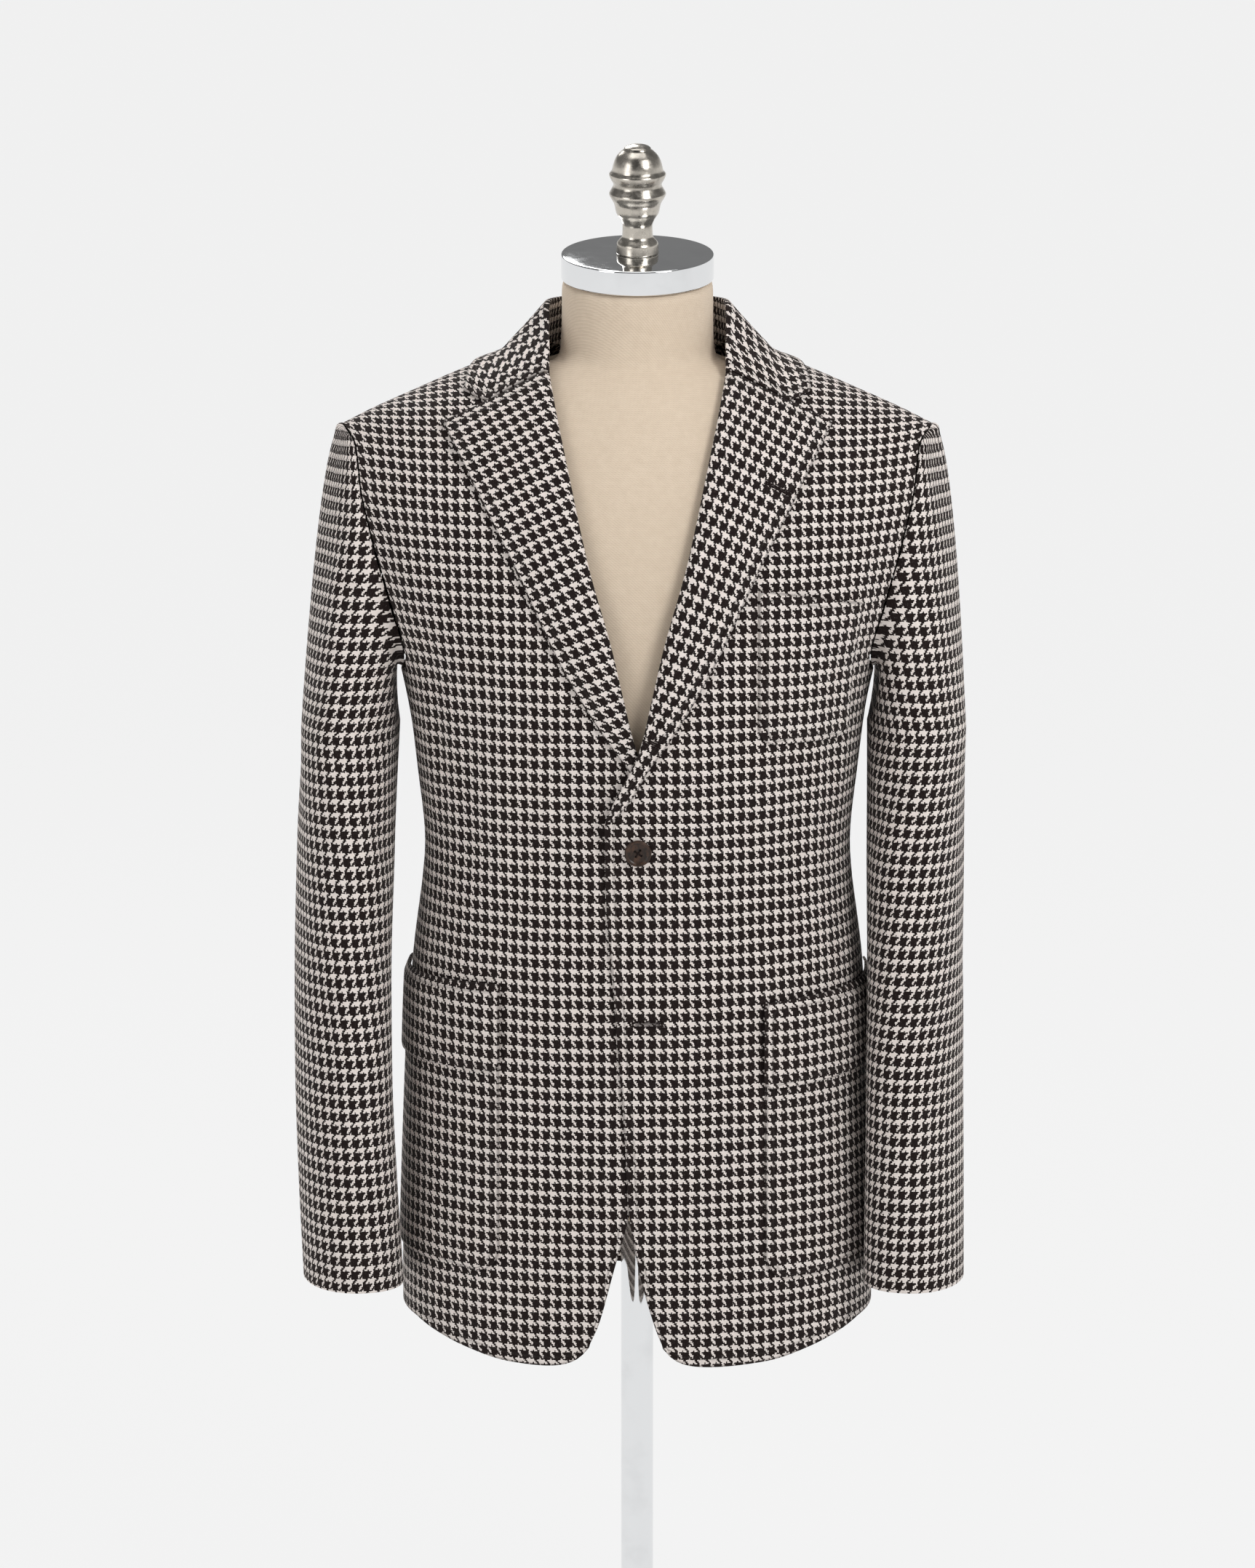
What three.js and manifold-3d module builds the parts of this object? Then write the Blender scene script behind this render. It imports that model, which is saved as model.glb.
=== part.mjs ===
// A single-breasted wool sport coat that hangs on a limbless dress form with a stand.
// Millimetres, +Z up, the coat's front faces -Y and the wearer's left is +X.
import * as THREE from "three";
import { mergeVertices } from "three/addons/utils/BufferGeometryUtils.js";
import Module from "manifold-3d";

// Cloth
const WALL = 2;
const SEAM_GAP = 0.3;
const PATCH_CLEARANCE = 1;

// Heights of the coat
const HEM = 215;
const HEM_EASE_TOP = 420;
const ARMPIT = 735;
const SHOULDER_ARC = 300;
const SHOULDER = ARMPIT + SHOULDER_ARC;
const BODY_POWER = 2.3;
const NECK_HALF = 74;
const BACK_NECK_LEVEL = 934;

// Rings of the body: half width, and depth in front of and behind the side line.
const BODY = [
  { level: 200, half: 181, front: 127, back: 131 },
  { level: 262, half: 181, front: 128, back: 130 },
  { level: 343, half: 179, front: 130, back: 127 },
  { level: 430, half: 175.5, front: 131, back: 121 },
  { level: 501, half: 172.5, front: 132, back: 113 },
  { level: 572, half: 164.5, front: 131, back: 106 },
  { level: 600, half: 162.6, front: 131, back: 105 },
  { level: 657, half: 168, front: 135, back: 109 },
  { level: 735, half: 180, front: 140, back: 120 },
  { level: 783, half: 201, front: 141, back: 124 },
  { level: 835, half: 217, front: 140, back: 127 },
  { level: 897, half: 228, front: 138, back: 129 },
  { level: 1035, half: 233, front: 130, back: 128 },
];

// The shoulder seam, by distance from the middle.
const RIDGE = [
  { x: 0, y: 14, z: 1005 },
  { x: 42, y: 13, z: 993 },
  { x: 74, y: 12, z: 979 },
  { x: 98, y: 11, z: 970.5 },
  { x: 131, y: 9, z: 958.5 },
  { x: 166, y: 7, z: 943.5 },
  { x: 200, y: 5, z: 928.5 },
  { x: 223, y: 4, z: 917 },
];

// The lower edge, by angle round the body from the middle of the front.
const HEMLINE = [
  { degrees: -20, z: 215 },
  { degrees: 15, z: 215 },
  { degrees: 29, z: 217 },
  { degrees: 44, z: 224.5 },
  { degrees: 57, z: 232 },
  { degrees: 70, z: 238 },
  { degrees: 90, z: 240 },
  { degrees: 135, z: 236 },
  { degrees: 180, z: 232 },
];
const CORNER_RISE = 16;
const CORNER_EASE = 10;

// Front edges of the two fronts: the left front lies over the right one.
const FRONT_EDGE = [
  { z: 215, left: 25, right: 42 },
  { z: 231, left: 19.5, right: 37 },
  { z: 248, left: 13, right: 29.6 },
  { z: 290, left: 1.5, right: 18.1 },
  { z: 335, left: -6.1, right: 6 },
  { z: 397, left: -9.9, right: -6 },
  { z: 477, left: -15.9, right: -15 },
  { z: 603, left: -24, right: -24 },
  { z: 637, left: -24, right: -24 },
];
const LAP_LIFT = 1.3;
const LAP_HALF = 30;
const LAP_FADE = 45;
const LAP_TOP = 700;
const LAP_TOP_FADE = 60;
const ROLL_BUMP = { z: 662, spread: 50, lift: 5 };

// Lapels, each side alike: the roll line and the outer edge, by height.
const ROLL_START = 637;
const ROLL = [
  { z: 637, x: -24 },
  { z: 655, x: -16 },
  { z: 690, x: 1 },
  { z: 729, x: 10.5 },
  { z: 766, x: 19 },
  { z: 826, x: 36 },
  { z: 893, x: 51 },
  { z: 950, x: 63.5 },
  { z: 985, x: 70 },
];
const LAPEL_EDGE = [
  { z: 637, x: -19 },
  { z: 655, x: -4 },
  { z: 675, x: 7 },
  { z: 696, x: 22 },
  { z: 730, x: 43.5 },
  { z: 760, x: 60 },
  { z: 781, x: 70 },
  { z: 826, x: 91.5 },
  { z: 868, x: 114 },
  { z: 897, x: 129.5 },
  { z: 923, x: 144.5 },
];
const GORGE_Z = 959.5;
const TIP_Z = 923;
const NOTCH_SHARE = 0.58;
const LAPEL_EDGE_LIFT = WALL + 1.5;
const LAPEL_ROLL_LIFT = 2.2;
// The turned edge of a lapel: distance past the roll line and height over the panel.
const CURL = [
  { past: 0.4, lift: -1.2 },
  { past: 0, lift: 0.9 },
  { past: 1.3, lift: 3.3 },
  { past: 4, lift: 4.8 },
];
const PANEL_PAST_ROLL = 4.3;
const LAPEL_LOW_LIFT = 3.6;
const GORGE_GAP = 0.8;

// Collar from the middle of the back (turn 0) to the gorge (turn 1), each side alike: the seam
// and the fold as x, y, z, and the outer edge as x, y.
const COLLAR = [
  { turn: 0, seam: [0, 66, 966], fold: [0, 68, 1004], edge: [0, 82] },
  { turn: 0.25, seam: [30, 56.5, 968], fold: [29, 59, 1006], edge: [43, 76] },
  { turn: 0.5, seam: [56.5, 37.5, 973], fold: [54.5, 40, 1008], edge: [88, 56] },
  { turn: 0.68, seam: [68.5, 12, 977], fold: [66, 12, 1007], edge: [116, 18] },
  { turn: 0.85, seam: [67.5, -22, 971], fold: [66.3, -23, 985], edge: [126, -10] },
  { turn: 1, seam: [64.4, -52, 958.4], fold: [64, -52, 961.5], edge: [129, -36] },
];
const FALL_KNEE = 0.8;
const COLLAR_FOLD = [
  { out: 1.1, up: 1.6 },
  { out: 3.6, up: 1.4 },
];

// Armholes: half angle of the opening before and behind the side line, by share of the rise
// from armpit to shoulder.
const ARMHOLES = [
  { rise: 0, front: 0, back: 0 },
  { rise: 0.01, front: 10, back: 10 },
  { rise: 0.03, front: 15, back: 15 },
  { rise: 0.08, front: 20, back: 20 },
  { rise: 0.2, front: 24.5, back: 23.5 },
  { rise: 0.4, front: 26, back: 25 },
  { rise: 0.6, front: 26, back: 25 },
  { rise: 0.8, front: 25.5, back: 25 },
  { rise: 0.9, front: 24.5, back: 24.5 },
  { rise: 1, front: 18, back: 18 },
];
const ARMHOLE_WIDEST = 0.4;
// How far the side panel stops short of the armhole
const UNDERARM_GAP = 3;
const ARMHOLE_GAP = 0.7;

// Side panel seams, degrees round from the middle of the front.
const SIDE_SEAMS = [
  { level: 215, front: 67, back: 116 },
  { level: 600, front: 66, back: 118 },
  { level: 735, front: 70, back: 110 },
];

// Sleeves: outer line on each side, width and depth of the ring, its place and its twist.
const SLEEVE_TOP = 690;
const SLEEVES = [
  { z: 270, left: 248.9, right: 254.4, width: 76, depth: 101, y: -64, twist: 16 },
  { z: 343, left: 248.5, right: 257.8, width: 75, depth: 108, y: -60, twist: 16 },
  { z: 430, left: 248, right: 260.5, width: 74, depth: 118, y: -50, twist: 15 },
  { z: 500, left: 248.6, right: 261, width: 74, depth: 128, y: -38, twist: 11 },
  { z: 600, left: 249.3, right: 259.3, width: 75, depth: 142, y: -18, twist: 5 },
  { z: 690, left: 249.8, right: 255.5, width: 75, depth: 153, y: -5, twist: 0 },
];
const SLEEVE_POWER = 2.2;
const CAP_OUT = { top: 16, low: 11 };
const CAP_FORWARD = 7;
const CAP_DROP = { top: 2, low: -8 };
const SLEEVE_FRONT_SEAM = 152;
const SLEEVE_BACK_SEAM = 250;
// Radians that each sleeve piece stops short of its seam
const SLEEVE_SEAM_TURN = 0.006;

// Centre vent at the back
const VENT_TOP = 440;
const VENT_STEP = 22;
const VENT_LAP_DEGREES = 9;
const VENT_LIFT = -(WALL + 0.6);

// Pockets: front edge, slanted top and bottom, and width round the body.
const PATCH_POCKETS = {
  left: { frontX: 95.5, topFront: 492, topBack: 500, low: 281, lowBack: 286 },
  right: { frontX: 103.5, topFront: 506, topBack: 501, low: 286, lowBack: 290 },
};
const POCKET_WIDTH = 166;
const POCKET_CORNER = 20;
const FLAP_HEIGHT = 66;
const FLAP_CORNER = 8;
const FLAP_OVERHANG = 2;
const FLAP_ABOVE = 3;
const POCKET_UNDER_FLAP = 8;
const BREAST_POCKET = { frontX: 89, topFront: 808, topBack: 802, low: 692, lowBack: 690 };
const BREAST_WIDTH = 88;
const BREAST_CORNER = 14;

// Buttons
const FRONT_BUTTON = { x: 0.3, z: 613, radius: 10, thick: 3.6 };
const CUFF_BUTTON = { radius: 7.5, thick: 3, low: 305, step: 19, count: 2, degrees: 236 };

// A button's outline, in shares of its radius and thickness
const BUTTON_OUTLINE = [
  { out: 0, up: 0 },
  { out: 0.8, up: 0 },
  { out: 1, up: 0.4 },
  { out: 1, up: 0.75 },
  { out: 0.9, up: 1 },
  { out: 0.78, up: 0.9 },
  { out: 0.66, up: 0.7 },
  { out: 0, up: 0.7 },
];
const BUTTON_CLEARANCE = { front: 1, cuff: 0.5 };

// Dress form
const FORM_BOTTOM = 325;
const FORM_TOP_SHARE = 0.96;
const FORM_GAP = [
  { level: 325, gap: 12 },
  { level: 480, gap: 8 },
  { level: 600, gap: 7 },
  { level: 735, gap: 9 },
  { level: 850, gap: 5 },
  { level: 950, gap: 3.6 },
  { level: 1035, gap: 1.2 },
];
const NECK_RELIEF = 14;
const NECK_RELIEF_REACH = 40;
const FORM_ARM_HALF = 182;
const FORM_ARM_HALF_LOW = 168;
const NECK = [
  { z: 880, y: 0, radius: 66 },
  { z: 930, y: 1, radius: 66 },
  { z: 950, y: 2, radius: 62 },
  { z: 968, y: 4, radius: 58.5 },
  { z: 990, y: 3.5, radius: 57.2 },
  { z: 1027, y: 0.5, radius: 57 },
];
const NECK_TILT = 9.3;
const CAP = { z: 1027.3, y: 0.5, radius: 57.5, height: 19, edge: 1.5 };
const FINIAL = [
  { up: 0, radius: 15.9 },
  { up: 7, radius: 15.6 },
  { up: 13.5, radius: 11.5 },
  { up: 21, radius: 11.2 },
  { up: 27, radius: 13.5 },
  { up: 31, radius: 16 },
  { up: 38, radius: 17.6 },
  { up: 43, radius: 20.4 },
  { up: 45.5, radius: 21.4 },
  { up: 48, radius: 20.2 },
  { up: 52.6, radius: 18.1 },
  { up: 57, radius: 20.2 },
  { up: 60.5, radius: 21.3 },
  { up: 63, radius: 19.4 },
  { up: 68, radius: 18.2 },
  { up: 74, radius: 15.6 },
  { up: 79.5, radius: 10.2 },
  { up: 83, radius: 0 },
];
const POLE_RADIUS = 12.5;
const BASE = [
  { radius: 0, z: 0 },
  { radius: 160, z: 0 },
  { radius: 160, z: 8 },
  { radius: 154, z: 13 },
  { radius: 54, z: 20 },
  { radius: 24, z: 23 },
  { radius: 20, z: 34 },
  { radius: 0, z: 34 },
];

// How far the form and the coat stand above the heights given here
const RAISE = 75;

// Mesh density: the heights of the body's rows below the armpits, and counts elsewhere
const LOWER_LEVELS = [215, 236, 262, 300, 345, 392, 440, 462, 490, 535, 575, 601, 626, 655, 692, 735];
const GRID = {
  frontColumns: 10,
  upperRows: 9,
  sideColumns: 4,
  backColumns: 7,
  topSleeveColumns: 12,
  underSleeveColumns: 5,
  capRows: 6,
  tubeRows: 9,
  lapelRows: 12,
  lapelColumns: 5,
  collarStations: 11,
  fallPoints: 5,
  roundSides: 24,
  buttonSides: 12,
  formSides: 32,
};

const COLOURS = {
  cloth: { color: 0x6f6963, roughness: 0.92, metalness: 0 },
  horn: { color: 0x2b1b14, roughness: 0.35, metalness: 0 },
  linen: { color: 0xdccab4, roughness: 0.85, metalness: 0 },
  chrome: { color: 0xd6d8da, roughness: 0.08, metalness: 1 },
  nickel: { color: 0x9b9388, roughness: 0.3, metalness: 1 },
  iron: { color: 0x2a2a2b, roughness: 0.45, metalness: 0.6 },
};

const QUARTER = Math.PI / 2;
const radians = THREE.MathUtils.degToRad;
const clamp = THREE.MathUtils.clamp;
const lerp = THREE.MathUtils.lerp;
const vec = (x, y, z) => new THREE.Vector3(x, y, z);

const group = new THREE.Group();
const raised = new THREE.Group();
raised.position.z = RAISE;
group.add(raised);
const wasm = await Module();
wasm.setup();

// A smooth curve through one column of a table, flat beyond its ends.
function through(rows, at, column) {
  const xs = rows.map((row) => row[at]);
  const ys = rows.map((row) => row[column]);
  const last = xs.length - 1;
  const rise = (i) => (ys[i + 1] - ys[i]) / (xs[i + 1] - xs[i]);
  const slope = (i) => {
    if (i === 0) return rise(0);
    if (i === last) return rise(last - 1);
    const before = rise(i - 1);
    const after = rise(i);
    return before * after <= 0 ? 0 : (2 * before * after) / (before + after);
  };
  return (x) => {
    if (x <= xs[0]) return ys[0];
    if (x >= xs[last]) return ys[last];
    let i = 0;
    while (x > xs[i + 1]) i++;
    const step = xs[i + 1] - xs[i];
    const t = (x - xs[i]) / step;
    const a = ys[i] * (1 + 2 * t) * (1 - t) ** 2 + slope(i) * step * t * (1 - t) ** 2;
    return a + ys[i + 1] * t * t * (3 - 2 * t) - slope(i + 1) * step * t * t * (1 - t);
  };
}

const half = through(BODY, "level", "half");
const front = through(BODY, "level", "front");
const back = through(BODY, "level", "back");
const ridgeY = through(RIDGE, "x", "y");
const ridgeZ = through(RIDGE, "x", "z");
const hemline = through(HEMLINE, "degrees", "z");
const rollX = through(ROLL, "z", "x");
const lapelEdgeX = through(LAPEL_EDGE, "z", "x");
const seamFront = through(SIDE_SEAMS, "level", "front");
const seamBack = through(SIDE_SEAMS, "level", "back");
const edgeX = { left: through(FRONT_EDGE, "z", "left"), right: through(FRONT_EDGE, "z", "right") };

const nameOf = (side) => (side > 0 ? "left" : "right");
const fadeOut = (distance, reach) => {
  const t = clamp(distance / reach, 0, 1);
  return 1 - t * t * (3 - 2 * t);
};

// A point on the coat's outer surface: turn is the angle round from the front, level the height,
// which above the armpits is counted along the arc that closes over the shoulders.
function bodyPoint(turn, level) {
  const sine = Math.sin(turn);
  const cosine = Math.cos(turn);
  const x = Math.sign(sine) * half(level) * Math.abs(sine) ** (2 / BODY_POWER);
  const depth = cosine > 0 ? -front(level) : back(level);
  const ring = depth * Math.abs(cosine) ** (2 / BODY_POWER);
  if (level <= ARMPIT) return vec(x, ring, level);
  const arc = ((level - ARMPIT) / SHOULDER_ARC) * QUARTER;
  const reach = Math.cos(arc);
  const y = ridgeY(Math.abs(x)) * (1 - reach) + ring * reach;
  return vec(x, y, ARMPIT + (ridgeZ(Math.abs(x)) - ARMPIT) * Math.sin(arc));
}

// The outward direction of a surface whose first parameter runs across and second along.
function outward(pointAt, a, b, stepA, stepB) {
  const across = pointAt(a + stepA, b).sub(pointAt(a - stepA, b));
  const along = pointAt(a, b + stepB).sub(pointAt(a, b - stepB));
  return across.cross(along).normalize();
}

const bodyNormal = (turn, level) => outward(bodyPoint, turn, level, 0.004, 1);

function lifted(turn, level, lift) {
  return bodyPoint(turn, level).addScaledVector(bodyNormal(turn, level), lift);
}

const levelAt = (x, z) => {
  if (z <= ARMPIT) return z;
  const share = clamp((z - ARMPIT) / (ridgeZ(Math.abs(x)) - ARMPIT), 0, 1);
  return ARMPIT + (SHOULDER_ARC * Math.asin(share)) / QUARTER;
};

const turnAt = (x, level) =>
  Math.sign(x) * Math.asin(clamp(Math.abs(x) / half(level), 0, 1) ** (BODY_POWER / 2));

// How far the overlapping fronts stand off the common surface, the left one outwards.
function lapLift(side, x, z) {
  const near = fadeOut(Math.abs(x) - LAP_HALF, LAP_FADE);
  const low = fadeOut(z - LAP_TOP, LAP_TOP_FADE);
  const fromBump = (z - ROLL_BUMP.z) / ROLL_BUMP.spread;
  const bump = side > 0 ? ROLL_BUMP.lift * Math.exp(-(fromBump ** 2)) : 0;
  return near * (side * LAP_LIFT * low + bump);
}

// A point over the front at a given width and height, lifted off the panel.
function onFront(side, x, z, lift) {
  const level = levelAt(x, z);
  return lifted(turnAt(x, level), level, lift + lapLift(side, x, z));
}

// The same by plan position, for what lies on the shoulders and round the neck.
function overShoulder(x, y, lift) {
  const ridge = ridgeY(Math.abs(x));
  let level = lerp(ARMPIT, SHOULDER, 0.6);
  for (let i = 0; i < 12; i++) {
    const depth = y < ridge ? -front(level) : back(level);
    const share = clamp(Math.abs(x) / half(level), 0, 1) ** BODY_POWER;
    const ring = depth * (1 - share) ** (1 / BODY_POWER);
    const reach = clamp((y - ridge) / (ring - ridge), 0, 1);
    level = ARMPIT + (SHOULDER_ARC * Math.acos(reach)) / QUARTER;
  }
  const turn = turnAt(x, level);
  const behind = Math.sign(x || 1) * Math.PI - turn;
  return lifted(y < ridge ? turn : behind, level, lift);
}

// A closed wall from a grid of outer points and outward directions.
function wallGeometry(points, normals, thickness = WALL) {
  const rows = points.length;
  const columns = points[0].length;
  const position = [];
  const index = [];
  for (const inner of [false, true]) {
    for (let j = 0; j < rows; j++) {
      for (let i = 0; i < columns; i++) {
        const p = points[j][i].clone();
        if (inner) p.addScaledVector(normals[j][i], -thickness);
        position.push(p.x, p.y, p.z);
      }
    }
  }
  const outer = (i, j) => j * columns + i;
  const inner = (i, j) => rows * columns + j * columns + i;
  const quad = (a, b, c, d) => index.push(a, b, c, a, c, d);
  for (let j = 0; j < rows - 1; j++) {
    for (let i = 0; i < columns - 1; i++) {
      quad(outer(i, j), outer(i + 1, j), outer(i + 1, j + 1), outer(i, j + 1));
      quad(inner(i, j), inner(i, j + 1), inner(i + 1, j + 1), inner(i + 1, j));
    }
  }
  for (let i = 0; i < columns - 1; i++) {
    quad(outer(i, 0), inner(i, 0), inner(i + 1, 0), outer(i + 1, 0));
    const top = rows - 1;
    quad(outer(i, top), outer(i + 1, top), inner(i + 1, top), inner(i, top));
  }
  for (let j = 0; j < rows - 1; j++) {
    quad(outer(0, j), outer(0, j + 1), inner(0, j + 1), inner(0, j));
    const end = columns - 1;
    quad(outer(end, j), inner(end, j), inner(end, j + 1), outer(end, j + 1));
  }
  return fromLists(position, index);
}

function fromLists(position, index) {
  const geometry = new THREE.BufferGeometry();
  geometry.setAttribute("position", new THREE.Float32BufferAttribute(position, 3));
  geometry.setIndex(index);
  geometry.computeVertexNormals();
  return geometry;
}

// Outward directions of a grid of points from their neighbours.
function gridNormals(points) {
  const rows = points.length;
  const columns = points[0].length;
  return points.map((row, j) =>
    row.map((_, i) => {
      const across = row[Math.min(i + 1, columns - 1)].clone().sub(row[Math.max(i - 1, 0)]);
      const along = points[Math.min(j + 1, rows - 1)][i].clone().sub(points[Math.max(j - 1, 0)][i]);
      return across.cross(along).normalize();
    }),
  );
}

function add(name, geometry, finish, parent = raised) {
  const mesh = new THREE.Mesh(geometry, new THREE.MeshStandardMaterial(COLOURS[finish]));
  mesh.name = name;
  parent.add(mesh);
  return mesh;
}

// A wall whose grid points come from a function of column and row, each 0 to 1.
function addWall(name, columns, rows, place, thickness = WALL) {
  const points = [];
  const normals = [];
  for (let j = 0; j <= rows; j++) {
    const made = [];
    for (let i = 0; i <= columns; i++) made.push(place(i / columns, j / rows, i, j));
    points.push(made.map((item) => item.point ?? item));
    normals.push(made.map((item) => item.normal));
  }
  const directions = normals[0][0] ? normals : gridNormals(points);
  return add(name, wallGeometry(points, directions, thickness), "cloth");
}

// Armhole half angle at a share of the rise from armpit to shoulder; face is front or back.
const armholes = {
  front: through(ARMHOLES, "rise", "front"),
  back: through(ARMHOLES, "rise", "back"),
};
const armholeAngle = (share, face) => radians(armholes[face](share));

// Lower branch of the armhole: the level at which it is this far round from the side line.
function armholeLowLevel(angle, face) {
  let low = 0;
  let high = ARMHOLE_WIDEST;
  for (let i = 0; i < 30; i++) {
    const middle = (low + high) / 2;
    if (armholeAngle(middle, face) < angle) low = middle;
    else high = middle;
  }
  return ARMPIT + (SHOULDER_ARC * Math.asin(low)) / QUARTER;
}

// Where a front or back panel ends at the side: the seam below, the armhole above.
function panelSideTurn(level, face, seamFromSide) {
  if (level <= ARMPIT) return QUARTER - seamFromSide;
  const share = Math.sin(((level - ARMPIT) / SHOULDER_ARC) * QUARTER);
  const hole = armholeAngle(share, face);
  const angle = share < ARMHOLE_WIDEST ? Math.max(hole, seamFromSide) : hole;
  const x = half(level) * Math.cos(angle) ** (2 / BODY_POWER) - ARMHOLE_GAP;
  return turnAt(x, level);
}

const hemFade = (level) => clamp((HEM_EASE_TOP - level) / (HEM_EASE_TOP - HEM), 0, 1);

function rowLevels(face, seamFromSide) {
  const junction = armholeLowLevel(seamFromSide, face);
  const levels = [...LOWER_LEVELS, junction];
  for (let i = 1; i <= GRID.upperRows; i++) levels.push(lerp(junction, SHOULDER, i / GRID.upperRows));
  return levels;
}

// The inner edge of a front panel at a level: front edge below, roll line above.
function frontInnerX(side, level) {
  let z = level;
  let x = 0;
  for (let i = 0; i < 6; i++) {
    const past = PANEL_PAST_ROLL * (1 - fadeOut(z - ROLL_START, 25));
    x = z < ROLL_START ? edgeX[nameOf(side)](z) : rollX(z) + past;
    const arc = ((level - ARMPIT) / SHOULDER_ARC) * QUARTER;
    if (arc > 0) z = ARMPIT + (ridgeZ(Math.abs(x)) - ARMPIT) * Math.sin(arc);
  }
  return Math.min(x, NECK_HALF);
}

function addFront(side) {
  const levels = rowLevels("front", QUARTER - radians(seamFront(ARMPIT)));
  const cornerLevel = hemline(8) + CORNER_RISE;
  addWall(`front_${nameOf(side)}`, GRID.frontColumns, levels.length - 1, (across, up, i, j) => {
    const share = side > 0 ? across : 1 - across;
    const level = levels[j];
    const fade = hemFade(level);
    const inner = frontInnerX(side, level + (cornerLevel - HEM) * fade);
    const outer = panelSideTurn(level, "front", QUARTER - radians(seamFront(level)));
    const turn = lerp(turnAt(inner, level), outer, share);
    const x = Math.abs(bodyPoint(turn, level).x) * Math.sign(turn);
    const corner = CORNER_RISE * Math.exp(-Math.max(x - inner, 0) / CORNER_EASE);
    const height = level + (hemline(THREE.MathUtils.radToDeg(turn)) + corner - HEM) * fade;
    const seam = share === 1 && level <= ARMPIT ? SEAM_GAP / 2 / half(level) : 0;
    const at = side * (turn - seam);
    const normal = bodyNormal(at, height);
    const point = bodyPoint(at, height).addScaledVector(normal, lapLift(side, x, height));
    point.y -= SEAM_GAP / 2;
    return { point, normal };
  });
}

function addSide(side) {
  const lower = LOWER_LEVELS.length - 2;
  addWall(`side_${nameOf(side)}`, GRID.sideColumns, lower + 2, (across, _, i, j) => {
    const share = side > 0 ? across : 1 - across;
    const level = LOWER_LEVELS[Math.min(j, lower + 1)];
    const turn = radians(lerp(seamFront(level), seamBack(level), share));
    const fromSide = turn - QUARTER;
    const top = armholeLowLevel(Math.abs(fromSide), fromSide < 0 ? "front" : "back") - UNDERARM_GAP;
    const seam = (SEAM_GAP / half(level)) * (share - 0.5);
    const below = LOWER_LEVELS[lower];
    const raised = j <= lower ? level : lerp(below, top, j === lower + 1 ? 0.76 : 1);
    const height = raised + (hemline(THREE.MathUtils.radToDeg(turn)) - HEM) * hemFade(raised);
    const at = side * (turn - seam);
    return { point: bodyPoint(at, height), normal: bodyNormal(at, height) };
  });
}

// The back neck edge, from the middle up to the shoulder seam.
function backNeckLevel(x) {
  const share = clamp(x / NECK_HALF, 0, 1);
  return lerp(BACK_NECK_LEVEL, SHOULDER, 1 - Math.sqrt(1 - share * share));
}

function addBack(side) {
  const underlap = side < 0;
  const levels = rowLevels("back", radians(seamBack(ARMPIT)) - QUARTER);
  const extra = underlap ? 1 : 0;
  const columns = GRID.backColumns + extra;
  addWall(`back_${nameOf(side)}`, columns, levels.length - 1, (across, _, i, j) => {
    const step = side > 0 ? i : columns - i;
    const share = clamp(step / GRID.backColumns, 0, 1);
    const level = levels[j];
    const outer = panelSideTurn(level, "back", radians(seamBack(level)) - QUARTER);
    const fromBack = outer * (1 - share);
    let turn = Math.PI - fromBack;
    let lift = 0;
    if (share === 1) turn = Math.PI - turnAt(SEAM_GAP / 2, level);
    if (underlap && share === 1) {
      lift = VENT_LIFT * fadeOut(level - VENT_TOP - VENT_STEP, VENT_STEP);
      if (step === GRID.backColumns) turn = Math.PI - turnAt(2, level);
      else if (level <= VENT_TOP) turn = Math.PI + radians(VENT_LAP_DEGREES);
    }
    if (share === 0 && level <= ARMPIT) turn += SEAM_GAP / half(level);
    let height = level;
    if (level > ARMPIT) {
      const x = Math.abs(bodyPoint(turn, level).x);
      const rise = (level - ARMPIT) / SHOULDER_ARC;
      height = Math.min(level, lerp(ARMPIT, backNeckLevel(x), rise));
    }
    height += (hemline(THREE.MathUtils.radToDeg(turn)) - HEM) * hemFade(level);
    const at = side * turn;
    const normal = bodyNormal(at, height);
    const point = bodyPoint(at, height).addScaledVector(normal, lift);
    point.y += SEAM_GAP / 2;
    return { point, normal };
  });
}

// Sleeves
const sleeveColumn = (column) => through(SLEEVES, "z", column);
const sleeveWidth = sleeveColumn("width");
const sleeveDepth = sleeveColumn("depth");
const sleeveY = sleeveColumn("y");
const sleeveTwist = sleeveColumn("twist");
const sleeveOuter = { left: sleeveColumn("left"), right: sleeveColumn("right") };

// A point of a sleeve ring: round 0 is outermost, 90 front, 180 next to the body. Left-hand form.
function sleeveRing(side, round, z) {
  const along = sleeveDepth(z) / 2;
  const twist = radians(sleeveTwist(z));
  const wide = sleeveWidth(z) / 2;
  const across = Math.sqrt(wide ** 2 - (along * Math.sin(twist)) ** 2) / Math.cos(twist);
  const power = 2 / SLEEVE_POWER;
  const c = Math.cos(round);
  const s = Math.sin(round);
  const u = across * Math.sign(c) * Math.abs(c) ** power;
  const v = along * Math.sign(s) * Math.abs(s) ** power;
  const x = sleeveOuter[nameOf(side)](z) - wide + u * Math.cos(twist) - v * Math.sin(twist);
  const y = sleeveY(z) - v * Math.cos(twist) - u * Math.sin(twist);
  return vec(x, y, z);
}

// The armhole edge for the same angle round the sleeve.
function armholePoint(round) {
  const share = (1 + Math.cos(round)) / 2;
  const face = Math.sin(round) > 0 ? "front" : "back";
  const angle = armholeAngle(share, face) * (Math.sin(round) > 0 ? -1 : 1);
  return bodyPoint(QUARTER + angle, ARMPIT + (SHOULDER_ARC * Math.asin(share)) / QUARTER);
}

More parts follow.
